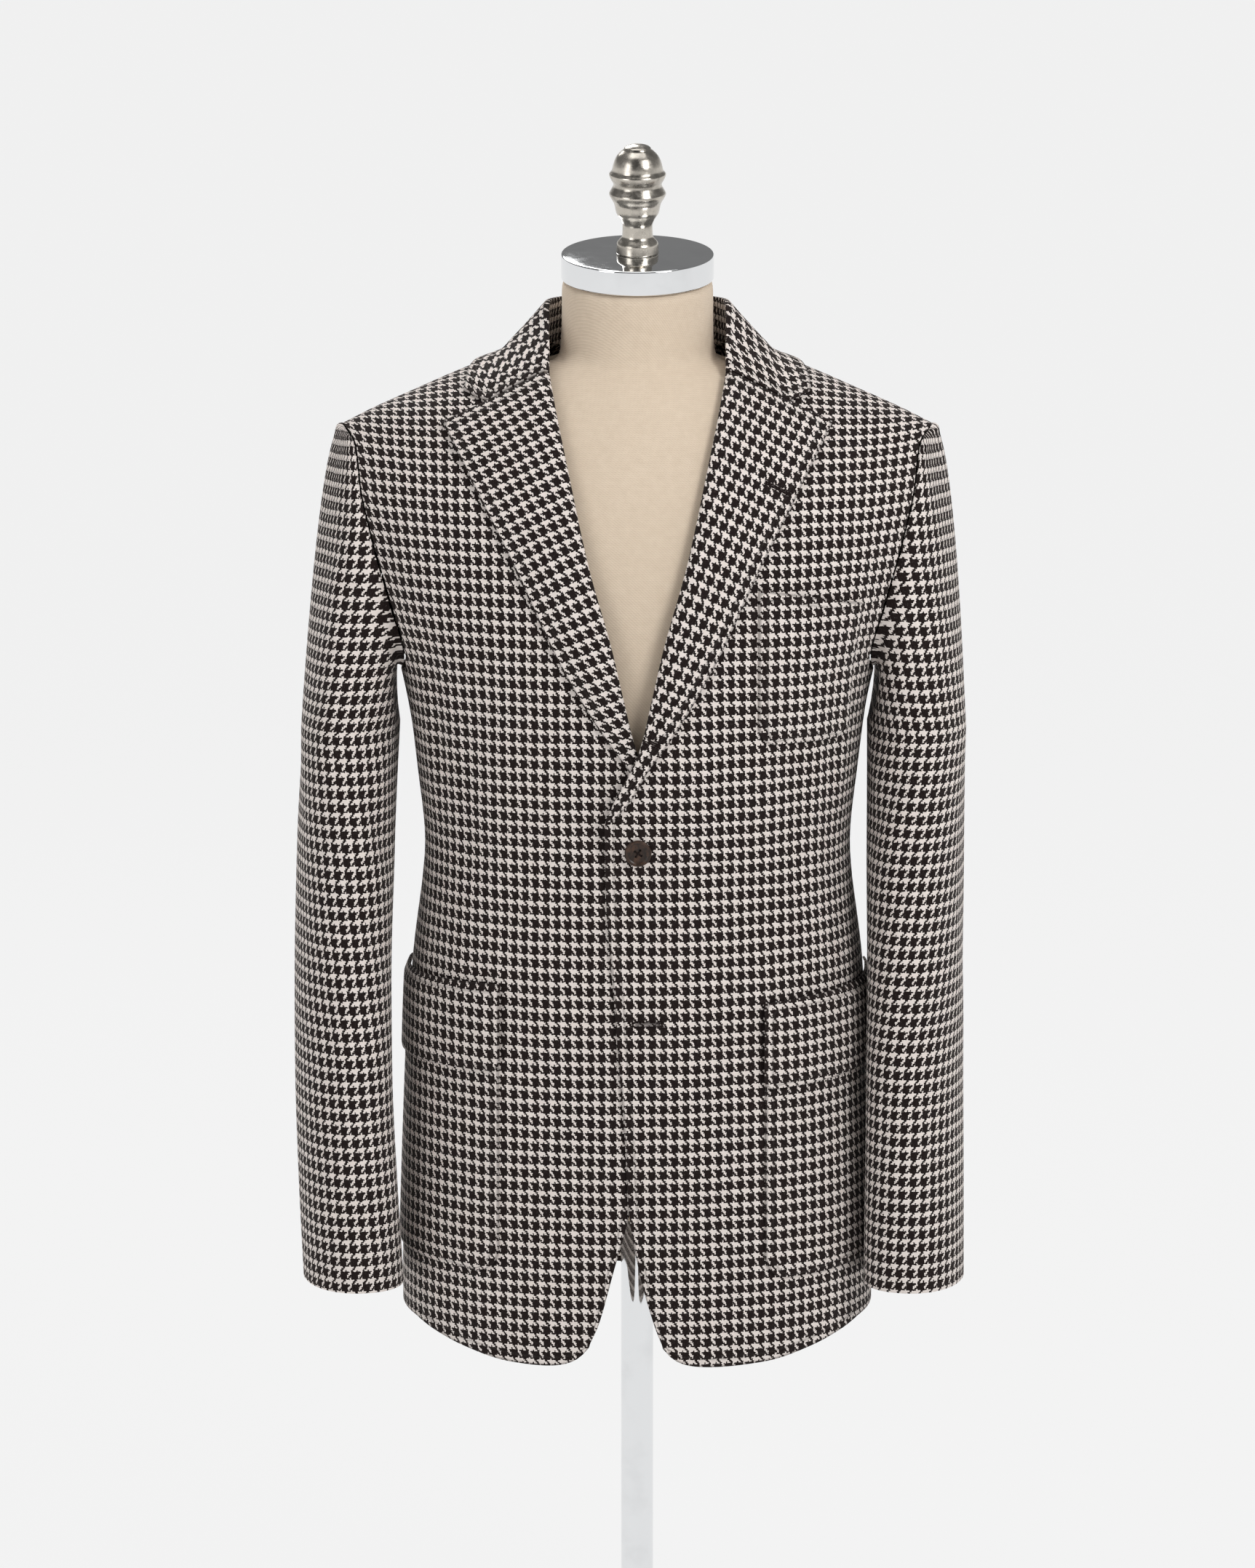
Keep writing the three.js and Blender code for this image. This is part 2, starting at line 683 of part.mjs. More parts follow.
// Down a sleeve: 0 to 1 is the cap, 1 to 2 the tube.
function sleevePoint(side, round, down) {
  if (down > 1) {
    const point = sleeveRing(side, round, lerp(SLEEVE_TOP, SLEEVES[0].z, down - 1));
    return point.setX(point.x * side);
  }
  const start = armholePoint(round);
  const end = sleeveRing(side, round, SLEEVE_TOP);
  const topness = (1 + Math.cos(round)) / 2;
  const bend = vec(
    start.x + lerp(CAP_OUT.low, CAP_OUT.top, topness),
    start.y - CAP_FORWARD * Math.sin(round),
    start.z - lerp(CAP_DROP.low, CAP_DROP.top, topness),
  );
  const point = start.multiplyScalar((1 - down) ** 2);
  point.addScaledVector(bend, 2 * down * (1 - down)).addScaledVector(end, down ** 2);
  return point.setX(point.x * side);
}

function sleevePlace(side, round, down) {
  const at = (a, b) => sleevePoint(side, a, Math.max(b, 0));
  const normal = outward(at, round, down, 0.01, 0.01).multiplyScalar(side);
  return { point: at(round, down), normal };
}

function addSleeve(side) {
  const rows = GRID.capRows + GRID.tubeRows;
  const downAt = (j) => {
    if (j <= GRID.capRows) return j / GRID.capRows;
    return 1 + (j - GRID.capRows) / GRID.tubeRows;
  };
  const build = (name, from, to, columns) =>
    addWall(`${name}_${nameOf(side)}`, columns, rows, (across, up, i, j) => {
      const share = side > 0 ? 1 - across : across;
      const round = lerp(radians(from) + SLEEVE_SEAM_TURN, radians(to) - SLEEVE_SEAM_TURN, share);
      return sleevePlace(side, round, downAt(rows - j));
    });
  build("top_sleeve", SLEEVE_BACK_SEAM - 360, SLEEVE_FRONT_SEAM, GRID.topSleeveColumns);
  build("under_sleeve", SLEEVE_FRONT_SEAM, SLEEVE_BACK_SEAM, GRID.underSleeveColumns);
}

// Lapels
function addLapel(side) {
  const curls = CURL.length;
  const columns = curls + GRID.lapelColumns - 1;
  addWall(`lapel_${nameOf(side)}`, columns, GRID.lapelRows, (across, up, i) => {
    const k = side > 0 ? i : columns - i;
    const rise = up ** 1.15;
    const rollZ = lerp(ROLL_START + 1, GORGE_Z, rise);
    const tipZ = lerp(ROLL_START + 1, TIP_Z, rise);
    const from = rollX(rollZ);
    const to = lapelEdgeX(tipZ);
    const curl = CURL[Math.min(k, curls - 1)];
    const squeeze = Math.min(1, (to - from) / 12);
    const start = from + curl.past * squeeze;
    const share = k < curls ? 0 : (k - curls + 1) / GRID.lapelColumns;
    const x = lerp(start, to, share);
    const z = lerp(rollZ, tipZ, (x - from) / Math.max(to - from, 1));
    const roll = LAPEL_ROLL_LIFT * (1 - share) ** 2;
    const full = k < curls ? curl.lift : LAPEL_EDGE_LIFT + roll;
    const lift = lerp(full, Math.min(full, LAPEL_LOW_LIFT), fadeOut(rollZ - LAP_TOP, LAP_TOP_FADE));
    return onFront(side, side * x, Math.max(z, ROLL_START), lift);
  });
}

// Collar
function collarLine(key) {
  const axes = COLLAR[0][key].map((_, axis) => {
    const rows = COLLAR.map((row) => ({ turn: row.turn, at: row[key][axis] }));
    return through(rows, "turn", "at");
  });
  return (turn) => vec(axes[0](turn), axes[1](turn), axes[2] ? axes[2](turn) : 0);
}
const collarSeam = collarLine("seam");
const collarFold = collarLine("fold");
const collarEdge = collarLine("edge");

function collarProfile(side, turn) {
  const seam = collarSeam(turn);
  const fold = collarFold(turn);
  const edge = collarEdge(turn);
  const gorge = 1 - fadeOut(turn - 0.85, 0.15);
  const notchX = lerp(rollX(GORGE_Z), lapelEdgeX(TIP_Z), NOTCH_SHARE);
  const notch = onFront(1, notchX, lerp(GORGE_Z, TIP_Z, NOTCH_SHARE), 0);
  const knee = fold.clone().lerp(edge, 0.68).lerp(notch, gorge);
  const out = vec(knee.x - fold.x, knee.y - fold.y, 0).normalize();
  const points = [seam, seam.clone().lerp(fold, 0.55), fold];
  for (const { out: past, up } of COLLAR_FOLD) {
    points.push(fold.clone().addScaledVector(out, past).add(vec(0, 0, up)));
  }
  const start = fold.clone().addScaledVector(out, 5.2).setZ(fold.z + 0.2);
  const kneeSeat = overShoulder(knee.x, knee.y, LAPEL_EDGE_LIFT + 0.4);
  const edgeSeat = overShoulder(edge.x, edge.y, LAPEL_EDGE_LIFT);
  for (let k = 0; k <= GRID.fallPoints; k++) {
    const share = k / GRID.fallPoints;
    const past = Math.max(share - FALL_KNEE, 0) / (1 - FALL_KNEE);
    const beforeKnee = start.clone().lerp(kneeSeat, share / FALL_KNEE);
    const plan = past > 0 ? kneeSeat.clone().lerp(edgeSeat, past) : beforeKnee;
    const seat = overShoulder(plan.x, plan.y, LAPEL_EDGE_LIFT + 1.6 * (1 - share));
    points.push(plan.z > seat.z ? plan : seat);
  }
  return points.map((point) => point.setX(point.x * side));
}

// The collar's end: beside the lapel along the gorge, then out to the collar's own point.
function collarEnd(side) {
  const from = rollX(GORGE_Z);
  const to = lapelEdgeX(TIP_Z);
  const across = GORGE_GAP * 0.5;
  const gorgeZ = (x) => lerp(GORGE_Z, TIP_Z, (x - from) / (to - from)) + GORGE_GAP;
  const along = (x, lift) => onFront(1, x + across, gorgeZ(x), lift);
  const under = [0.8, 0.4].map((drop) => along(from + CURL[0].past, CURL[0].lift - drop));
  const points = [...under, ...CURL.map(({ past, lift }) => along(from + past, lift))];
  const start = from + CURL[CURL.length - 1].past;
  const edge = collarEdge(1);
  const edgeSeat = overShoulder(edge.x, edge.y, LAPEL_EDGE_LIFT);
  const notch = lerp(from, to, NOTCH_SHARE);
  for (let k = 1; k <= GRID.fallPoints; k++) {
    const share = k / GRID.fallPoints / FALL_KNEE;
    const lift = LAPEL_EDGE_LIFT + LAPEL_ROLL_LIFT * (1 - NOTCH_SHARE * Math.min(share, 1)) ** 2;
    const corner = along(lerp(start, notch, Math.min(share, 1)), lift);
    points.push(share <= 1 ? corner : corner.lerp(edgeSeat, (share - 1) / (1 / FALL_KNEE - 1)));
  }
  return points.map((point) => point.setX(point.x * side));
}

function addCollar() {
  const stations = GRID.collarStations;
  const profiles = [];
  for (let j = 0; j <= 2 * stations; j++) {
    const side = j <= stations ? 1 : -1;
    const turn = Math.abs(1 - j / stations);
    profiles.push(turn === 1 ? collarEnd(side) : collarProfile(side, turn));
  }
  const geometry = wallGeometry(profiles, gridNormals(profiles));
  add("collar", geometry, "cloth");
}

// Goes a distance round the body from a place on the front.
function walkRound(x, z, distance) {
  const level = levelAt(x, z);
  let turn = turnAt(x, level);
  let here = bodyPoint(turn, level);
  let gone = 0;
  const step = 0.01;
  while (gone < distance) {
    const next = bodyPoint(turn + step, level);
    gone += next.distanceTo(here);
    here = next;
    turn += step;
  }
  return { turn: turn - (gone - distance) / half(level), level };
}

// A patch on the body: its upper corners square, its lower ones rounded.
function addPatch(name, side, shape, width, corner, lift, columns, rows) {
  addWall(name, columns, rows, (across, up) => {
    const share = side > 0 ? across : 1 - across;
    const tall = shape.topFront - shape.low;
    const height = tall * up ** 1.6;
    const inset = height < corner ? corner - Math.sqrt(corner ** 2 - (corner - height) ** 2) : 0;
    const distance = lerp(inset, width - inset, share);
    const low = lerp(shape.low, shape.lowBack, distance / width);
    const top = lerp(shape.topFront, shape.topBack, distance / width);
    const z = lerp(low, top, height / tall);
    const { turn, level } = walkRound(shape.frontX, z, distance);
    return lifted(side * turn, level, lift);
  });
}

function addPockets(side) {
  const label = nameOf(side);
  const shape = PATCH_POCKETS[label];
  const onPanel = WALL + PATCH_CLEARANCE;
  const pocket = {
    ...shape,
    topFront: shape.topFront - POCKET_UNDER_FLAP,
    topBack: shape.topBack - POCKET_UNDER_FLAP,
  };
  addPatch(`patch_pocket_${label}`, side, pocket, POCKET_WIDTH, POCKET_CORNER, onPanel, 10, 6);
  const flap = {
    frontX: shape.frontX - FLAP_OVERHANG,
    topFront: shape.topFront + FLAP_ABOVE,
    topBack: shape.topBack + FLAP_ABOVE,
    low: shape.topFront + FLAP_ABOVE - FLAP_HEIGHT,
    lowBack: shape.topBack + FLAP_ABOVE - FLAP_HEIGHT,
  };
  const flapWidth = POCKET_WIDTH + 2 * FLAP_OVERHANG;
  addPatch(`pocket_flap_${label}`, side, flap, flapWidth, FLAP_CORNER, 2 * onPanel, 10, 4);
}

// A sewn-through button: a rimmed disc with four holes, its face along +Z.
function buttonGeometry(radius, thick, sides) {
  const profile = BUTTON_OUTLINE.map(({ out, up }) => new THREE.Vector2(out * radius, up * thick));
  return new THREE.LatheGeometry(profile, sides).rotateX(QUARTER);
}

function solidOf(geometry) {
  const plain = geometry.clone();
  plain.deleteAttribute("normal");
  plain.deleteAttribute("uv");
  const merged = mergeVertices(plain, 1e-3);
  return new wasm.Manifold(
    new wasm.Mesh({
      numProp: 3,
      vertProperties: merged.attributes.position.array,
      triVerts: new Uint32Array(merged.index.array),
    }),
  );
}

function geometryOf(solid) {
  const mesh = solid.getMesh();
  return fromLists([...mesh.vertProperties], [...mesh.triVerts]);
}

function cutHoles(disc, radius, thick) {
  let solid = solidOf(disc);
  for (const [sx, sy] of [[1, 1], [1, -1], [-1, 1], [-1, -1]]) {
    const hole = new THREE.CylinderGeometry(radius * 0.09, radius * 0.09, thick * 3, 6);
    hole.rotateX(QUARTER).translate(sx * radius * 0.2, sy * radius * 0.2, 0);
    solid = solid.subtract(solidOf(hole));
  }
  return geometryOf(solid);
}

function seatButton(name, geometry, point, normal, clearance) {
  const mesh = add(name, geometry, "horn");
  mesh.position.copy(point).addScaledVector(normal, clearance);
  mesh.quaternion.setFromUnitVectors(vec(0, 0, 1), normal);
}

function addButtons() {
  const { x, z, radius, thick } = FRONT_BUTTON;
  const level = levelAt(x, z);
  const normal = bodyNormal(turnAt(x, level), level);
  const disc = cutHoles(buttonGeometry(radius, thick, GRID.roundSides), radius, thick);
  seatButton("front_button", disc, onFront(1, x, z, 0), normal, BUTTON_CLEARANCE.front);
  const round = radians(CUFF_BUTTON.degrees);
  for (const side of [1, -1]) {
    for (let k = 0; k < CUFF_BUTTON.count; k++) {
      const height = CUFF_BUTTON.low + k * CUFF_BUTTON.step;
      const down = 1 + (SLEEVE_TOP - height) / (SLEEVE_TOP - SLEEVES[0].z);
      const { point, normal: out } = sleevePlace(side, round, down);
      const geometry = buttonGeometry(CUFF_BUTTON.radius, CUFF_BUTTON.thick, GRID.buttonSides);
      seatButton(`cuff_button_${nameOf(side)}_${k + 1}`, geometry, point, out, BUTTON_CLEARANCE.cuff);
    }
  }
}

// A closed body from rings of points, its ends closed by fans.
function loftGeometry(rings) {
  const sides = rings[0].length;
  const position = rings.flat().flatMap((p) => [p.x, p.y, p.z]);
  const index = [];
  for (let j = 0; j < rings.length - 1; j++) {
    for (let i = 0; i < sides; i++) {
      const a = j * sides + i;
      const b = j * sides + ((i + 1) % sides);
      index.push(a, b, b + sides, a, b + sides, a + sides);
    }
  }
  const end = (ring, first, turned) => {
    const middle = ring.reduce((sum, p) => sum.add(p), vec(0, 0, 0)).divideScalar(sides);
    const centre = position.length / 3;
    position.push(middle.x, middle.y, middle.z);
    for (let i = 0; i < sides; i++) {
      const a = first + i;
      const b = first + ((i + 1) % sides);
      index.push(centre, turned ? b : a, turned ? a : b);
    }
  };
  end(rings[0], 0, true);
  end(rings[rings.length - 1], (rings.length - 1) * sides, false);
  return fromLists(position, index);
}

const formGap = through(FORM_GAP, "level", "gap");

// The form follows the coat's inside, drawn in at its arm plates.
function formPoint(turn, level) {
  const pastNeck = Math.abs(bodyPoint(turn, level).x) - NECK[0].radius;
  const besideNeck = NECK_RELIEF * fadeOut(pastNeck, NECK_RELIEF_REACH);
  const relief = level > ARMPIT ? besideNeck * fadeOut(SHOULDER - level, 90) : 0;
  const point = lifted(turn, level, -formGap(level) - WALL - relief);
  const limit = lerp(FORM_ARM_HALF_LOW, FORM_ARM_HALF, clamp((level - ARMPIT + 60) / 160, 0, 1));
  const excess = Math.max(Math.abs(point.x) / limit, 0.001);
  const scale = 1 / (1 + excess ** 14) ** (1 / 14);
  point.x *= scale;
  return point;
}

function addForm() {
  const sides = GRID.formSides;
  const rings = [];
  const count = 15;
  for (let j = 0; j <= count; j++) {
    const level = lerp(FORM_BOTTOM, lerp(ARMPIT, SHOULDER, FORM_TOP_SHARE), j / count);
    const ring = [];
    for (let i = 0; i < sides; i++) {
      const turn = (2 * Math.PI * (i + 0.5)) / sides - Math.PI;
      const point = formPoint(turn, level);
      if (j === 0) point.z = FORM_BOTTOM;
      ring.push(point);
    }
    rings.push(ring);
  }
  const tilt = Math.tan(radians(NECK_TILT));
  const neckRings = NECK.map(({ z, y, radius }, k) => {
    const share = k / (NECK.length - 1);
    const ring = [];
    for (let i = 0; i < sides; i++) {
      const turn = (2 * Math.PI * i) / sides;
      const dx = radius * Math.sin(turn);
      const dy = -radius * Math.cos(turn);
      ring.push(vec(dx, y + dy, z + dy * tilt * share));
    }
    return ring;
  });
  const whole = solidOf(loftGeometry(rings)).add(solidOf(loftGeometry(neckRings)));
  add("form_torso", geometryOf(whole), "linen");
}

function lathe(profile, sides) {
  const points = profile.map(([r, z]) => new THREE.Vector2(r, z));
  return new THREE.LatheGeometry(points, sides).rotateX(QUARTER);
}

function addStand() {
  const tilted = new THREE.Group();
  tilted.position.set(0, CAP.y, CAP.z);
  tilted.rotation.x = radians(NECK_TILT);
  raised.add(tilted);
  const { radius, height, edge } = CAP;
  const capProfile = [[0, 0], [radius, 0], [radius, height - edge], [radius - edge, height], [0, height]];
  tilted.add(add("neck_cap", lathe(capProfile, 2 * GRID.roundSides), "chrome"));
  const finialProfile = [[0, 0], ...FINIAL.map((row) => [row.radius, row.up])];
  const finial = add("finial", lathe(finialProfile, GRID.roundSides), "nickel");
  finial.position.z = height + SEAM_GAP;
  tilted.add(finial);
  const poleTop = FORM_BOTTOM + RAISE - SEAM_GAP;
  const poleLow = BASE[BASE.length - 1].z + SEAM_GAP;
  const poleProfile = [[0, poleLow], [POLE_RADIUS, poleLow], [POLE_RADIUS, poleTop], [0, poleTop]];
  add("pole", lathe(poleProfile, GRID.roundSides), "chrome", group);
  const baseProfile = BASE.map(({ radius: r, z }) => [r, z]);
  add("base", lathe(baseProfile, 2 * GRID.roundSides), "iron", group);
}

for (const side of [1, -1]) {
  addFront(side);
  addSide(side);
  addBack(side);
  addSleeve(side);
  addLapel(side);
  addPockets(side);
}
addCollar();
const breastLift = WALL + PATCH_CLEARANCE;
addPatch("breast_pocket", 1, BREAST_POCKET, BREAST_WIDTH, BREAST_CORNER, breastLift, 5, 6);
addButtons();
addForm();
addStand();

export default group;
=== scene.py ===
"""Visual model of the sport coat on its dress form, in the shared frame."""

import math

import bmesh
import bpy
import numpy as np
from mathutils import Matrix, Vector


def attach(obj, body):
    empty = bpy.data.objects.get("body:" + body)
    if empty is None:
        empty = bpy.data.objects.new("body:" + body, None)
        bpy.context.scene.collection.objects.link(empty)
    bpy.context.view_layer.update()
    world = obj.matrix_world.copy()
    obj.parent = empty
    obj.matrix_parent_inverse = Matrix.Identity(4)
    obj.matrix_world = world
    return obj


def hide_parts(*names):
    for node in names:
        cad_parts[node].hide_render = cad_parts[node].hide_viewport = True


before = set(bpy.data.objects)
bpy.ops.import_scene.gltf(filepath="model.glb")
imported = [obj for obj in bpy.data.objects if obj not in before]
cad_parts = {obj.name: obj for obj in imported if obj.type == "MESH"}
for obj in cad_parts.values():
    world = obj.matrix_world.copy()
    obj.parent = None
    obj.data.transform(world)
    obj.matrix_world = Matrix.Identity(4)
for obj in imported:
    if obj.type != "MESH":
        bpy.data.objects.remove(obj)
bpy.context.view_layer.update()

# All lengths below are millimetres; heights are the coat's own, RAISE is added at the end.
RAISE = 75.0
WALL = 1.8
HEM, HEM_EASE_TOP, ARMPIT, SHOULDER_ARC = 215.0, 420.0, 735.0, 300.0
SHOULDER = ARMPIT + SHOULDER_ARC
BODY_POWER = 2.3
NECK_HALF, BACK_NECK_LEVEL = 74.0, 934.0
QUARTER = math.pi / 2

# level, half width, depth in front, depth behind
BODY = [
    (200, 181, 127, 131), (262, 181, 128, 130), (343, 179, 130, 127), (430, 175.5, 131, 121),
    (501, 172.5, 132, 113), (572, 164.5, 131, 106), (600, 162.6, 131, 105), (657, 168, 135, 109),
    (735, 180, 140, 120), (783, 201, 141, 124), (835, 217, 140, 127), (897, 228, 138, 129),
    (1035, 233, 130, 128),
]
# distance from the middle, y, z of the shoulder seam
RIDGE = [
    (0, 14, 1005), (42, 13, 993), (74, 12, 979), (98, 11, 970.5), (131, 9, 958.5),
    (166, 7, 943.5), (200, 5, 928.5), (223, 4, 917),
]
HEMLINE = [
    (-20, 215), (15, 215), (29, 217), (44, 224.5), (57, 232), (70, 238), (90, 240), (135, 236), (180, 232),
]
CORNER_RISE, CORNER_EASE = 16.0, 10.0
# height, edge of the left front, edge of the right front
FRONT_EDGE = [
    (215, 25, 42), (231, 19.5, 37), (248, 13, 29.6), (290, 1.5, 18.1), (335, -6.1, 6),
    (397, -9.9, -6), (477, -15.9, -15), (603, -24, -24), (637, -24, -24),
]
ROLL_START = 637.0
ROLL = [
    (637, -24), (655, -16), (690, 1), (729, 10.5), (766, 19), (826, 36), (893, 51), (950, 63.5), (985, 70),
]
LAPEL_EDGE = [
    (637, -19), (655, -4), (675, 7), (696, 22), (730, 43.5), (760, 60), (781, 70), (826, 91.5),
    (868, 114), (897, 129.5), (923, 144.5),
]
GORGE_Z, TIP_Z, NOTCH_SHARE = 959.5, 923.0, 0.58
LAPEL_EDGE_LIFT, LAPEL_ROLL_LIFT, LAPEL_LOW_LIFT = 3.5, 2.2, 3.6
CURL = [(0.4, -1.2), (0, 0.9), (1.3, 3.3), (4, 4.8)]
PANEL_PAST_ROLL, GORGE_GAP = 4.3, 0.8
# turn, seam, fold, edge
COLLAR = [
    (0, 0, 66, 966, 0, 68, 1004, 0, 82),
    (0.25, 30, 56.5, 968, 29, 59, 1006, 43, 76),
    (0.5, 56.5, 37.5, 973, 54.5, 40, 1008, 88, 56),
    (0.68, 68.5, 12, 977, 66, 12, 1007, 116, 18),
    (0.85, 67.5, -22, 971, 66.3, -23, 985, 126, -10),
    (1, 64.4, -52, 958.4, 64, -52, 961.5, 129, -36),
]
FALL_KNEE = 0.8
COLLAR_FOLD = [(1.1, 1.6), (3.6, 1.4)]
COLLAR_STATIONS, FALL_POINTS = 11, 5
# rise, half angle before, half angle behind
ARMHOLES = [
    (0, 0, 0), (0.01, 10, 10), (0.03, 15, 15), (0.08, 20, 20), (0.2, 24.5, 23.5), (0.4, 26, 25),
    (0.6, 26, 25), (0.8, 25.5, 25), (0.9, 24.5, 24.5), (1, 18, 18),
]
ARMHOLE_WIDEST, ARMHOLE_GAP, UNDERARM_GAP = 0.4, 0.7, 3.0
SIDE_SEAMS = [(215, 67, 116), (600, 66, 118), (735, 70, 110)]
SLEEVE_TOP, SLEEVE_LOW = 690.0, 270.0
# height, outer line left, right, width, depth, y, twist
SLEEVES = [
    (270, 248.9, 254.4, 76, 101, -64, 16), (343, 248.5, 257.8, 75, 108, -60, 16),
    (430, 248, 260.5, 74, 118, -50, 15), (500, 248.6, 261, 74, 128, -38, 11),
    (600, 249.3, 259.3, 75, 142, -18, 5), (690, 249.8, 255.5, 75, 153, -5, 0),
]
SLEEVE_POWER = 2.2
SLEEVE_FRONT_SEAM, SLEEVE_BACK_SEAM, CAP_EASE = 152.0, 250.0, 0.62
VENT_TOP, VENT_STEP, VENT_LAP, VENT_LIFT = 440.0, 22.0, 9.0, -2.6
# front edge, top at the front, top at the back, bottom at the front, bottom at the back
POCKETS = {1: (95.5, 492, 500, 281, 286), -1: (103.5, 506, 501, 286, 290)}
POCKET_WIDTH, POCKET_CORNER = 166.0, 20.0
FLAP_HEIGHT, FLAP_CORNER, FLAP_OVERHANG, FLAP_ABOVE, POCKET_UNDER_FLAP = 66.0, 8.0, 2.0, 3.0, 8.0
BREAST = (89, 808, 802, 692, 690)
BREAST_WIDTH, BREAST_CORNER = 88.0, 14.0
PATCH_LIFT = 3.0


def through(rows, column):
    """A smooth monotone curve through one column of a table, flat beyond its ends."""
    xs = np.array([row[0] for row in rows], float)
    ys = np.array([row[column] for row in rows], float)
    rise = np.diff(ys) / np.diff(xs)
    slope = np.empty(len(xs))
    slope[0], slope[-1] = rise[0], rise[-1]
    before, after = rise[:-1], rise[1:]
    total = np.where(before + after == 0, 1, before + after)
    slope[1:-1] = np.where(before * after <= 0, 0, 2 * before * after / total)

    def curve(x):
        x = np.clip(x, xs[0], xs[-1])
        i = np.clip(np.searchsorted(xs, x, side="right") - 1, 0, len(xs) - 2)
        step = xs[i + 1] - xs[i]
        t = (x - xs[i]) / step
        low = ys[i] * (1 + 2 * t) * (1 - t) ** 2 + slope[i] * step * t * (1 - t) ** 2
        return low + ys[i + 1] * t * t * (3 - 2 * t) - slope[i + 1] * step * t * t * (1 - t)

    return curve


half, front, back = (through(BODY, column) for column in (1, 2, 3))
ridge_y, ridge_z = (through(RIDGE, column) for column in (1, 2))
hemline, roll_x, lapel_edge_x = (through(rows, 1) for rows in (HEMLINE, ROLL, LAPEL_EDGE))
seam_front, seam_back = (through(SIDE_SEAMS, column) for column in (1, 2))
edge_x = {1: through(FRONT_EDGE, 1), -1: through(FRONT_EDGE, 2)}
armhole = {"front": through(ARMHOLES, 1), "back": through(ARMHOLES, 2)}
sleeve_outer = {1: through(SLEEVES, 1), -1: through(SLEEVES, 2)}
sleeve_width, sleeve_depth, sleeve_y, sleeve_twist = (through(SLEEVES, column) for column in (3, 4, 5, 6))


def fade_out(distance, reach):
    t = np.clip(distance / reach, 0, 1)
    return 1 - t * t * (3 - 2 * t)


def lerp(a, b, t):
    return a + (b - a) * t


def stack(x, y, z):
    return np.stack(np.broadcast_arrays(x, y, z), axis=-1).astype(float)


def unit(v):
    return v / np.maximum(np.linalg.norm(v, axis=-1, keepdims=True), 1e-9)


def body_point(turn, level):
    turn, level = np.broadcast_arrays(np.asarray(turn, float), np.asarray(level, float))
    sine, cosine = np.sin(turn), np.cos(turn)
    x = np.sign(sine) * half(level) * np.abs(sine) ** (2 / BODY_POWER)
    depth = np.where(cosine > 0, -front(level), back(level))
    ring = depth * np.abs(cosine) ** (2 / BODY_POWER)
    arc = np.clip((level - ARMPIT) / SHOULDER_ARC, 0, None) * QUARTER
    reach = np.cos(arc)
    y = np.where(level > ARMPIT, ridge_y(np.abs(x)) * (1 - reach) + ring * reach, ring)
    z = np.where(level > ARMPIT, ARMPIT + (ridge_z(np.abs(x)) - ARMPIT) * np.sin(arc), level)
    return stack(x, y, z)


def outward(point_at, a, b, step_a, step_b):
    across = point_at(a + step_a, b) - point_at(a - step_a, b)
    along = point_at(a, b + step_b) - point_at(a, b - step_b)
    return unit(np.cross(across, along))


def body_normal(turn, level):
    return outward(body_point, turn, level, 0.004, 1.0)


def lifted(turn, level, lift):
    return body_point(turn, level) + body_normal(turn, level) * np.asarray(lift)[..., None]


# Soft troughs (negative) and ridges of the body: turn in degrees, level, lean, half length,
# half width, depth. Sides are given as 1 left, -1 right, 0 both.
FOLDS = [
    (1, 30, 560, 35, 70, 16, -1.3), (1, 24, 590, 20, 60, 13, 0.9), (1, 44, 640, 12, 80, 15, -1.2),
    (1, 12, 585, 62, 34, 9, -1.0), (1, 10, 640, -50, 30, 9, -0.8), (1, 56, 720, 8, 60, 14, -1.6),
    (1, 62, 690, 14, 70, 12, 1.2), (1, 50, 330, -6, 80, 18, 0.8), (1, 20, 380, -8, 90, 20, -1.1),
    (-1, 33, 570, 30, 66, 15, -1.2), (-1, 22, 600, 48, 42, 10, -1.1), (-1, 12, 632, -42, 32, 9, -0.9),
    (-1, 47, 655, 10, 84, 14, -1.3), (-1, 58, 715, 6, 64, 13, -1.7), (-1, 64, 680, 12, 60, 12, 1.1),
    (-1, 18, 400, -10, 80, 20, -1.0), (-1, 38, 300, 4, 60, 18, 0.8),
    (0, 128, 600, 16, 90, 15, -1.5), (0, 142, 560, 42, 70, 14, -1.2), (0, 118, 690, 8, 60, 13, -1.6),
    (1, 160, 600, 66, 46, 12, -1.3), (-1, 162, 615, 60, 42, 12, -1.2), (0, 150, 330, 6, 110, 24, -1.4),
    (0, 124, 300, -5, 90, 20, 1.2), (1, 168, 820, 74, 50, 16, -1.0), (-1, 165, 806, 70, 52, 16, -1.1),
    (0, 90, 640, 5, 80, 12, -1.3), (0, 98, 520, -8, 60, 14, 1.0), (0, 84, 400, 6, 80, 14, -0.9),
    (0, 134, 800, 18, 70, 13, -1.4), (0, 60, 800, 14, 60, 12, -1.1),
]


def fold_lift(side, turn, level):
    """Height of the listed folds at a place on the body."""
    turn, level = np.broadcast_arrays(np.asarray(turn, float), np.asarray(level, float))
    total = np.zeros(turn.shape)
    for which, degrees, height, lean, length, width, depth in FOLDS:
        if which not in (0, side):
            continue
        shift = 6.0 * math.sin(height * 0.7 + side * 1.3)
        across = (turn - math.radians(degrees)) * 165.0 + (shift if which == 0 else 0.0)
        up = level - height
        angle = math.radians(lean)
        a = across * math.cos(angle) + up * math.sin(angle)
        b = -across * math.sin(angle) + up * math.cos(angle)
        bend = a + 0.0015 * b * b
        total += depth * np.exp(-((bend / width) ** 2)) * np.exp(-((b / length) ** 4))
    calm = fade_out(level - 880, 60) * (1 - fade_out(level - HEM, 40) * 0.5)
    return total * calm


def arc_level(share):
    return ARMPIT + SHOULDER_ARC * np.arcsin(share) / QUARTER


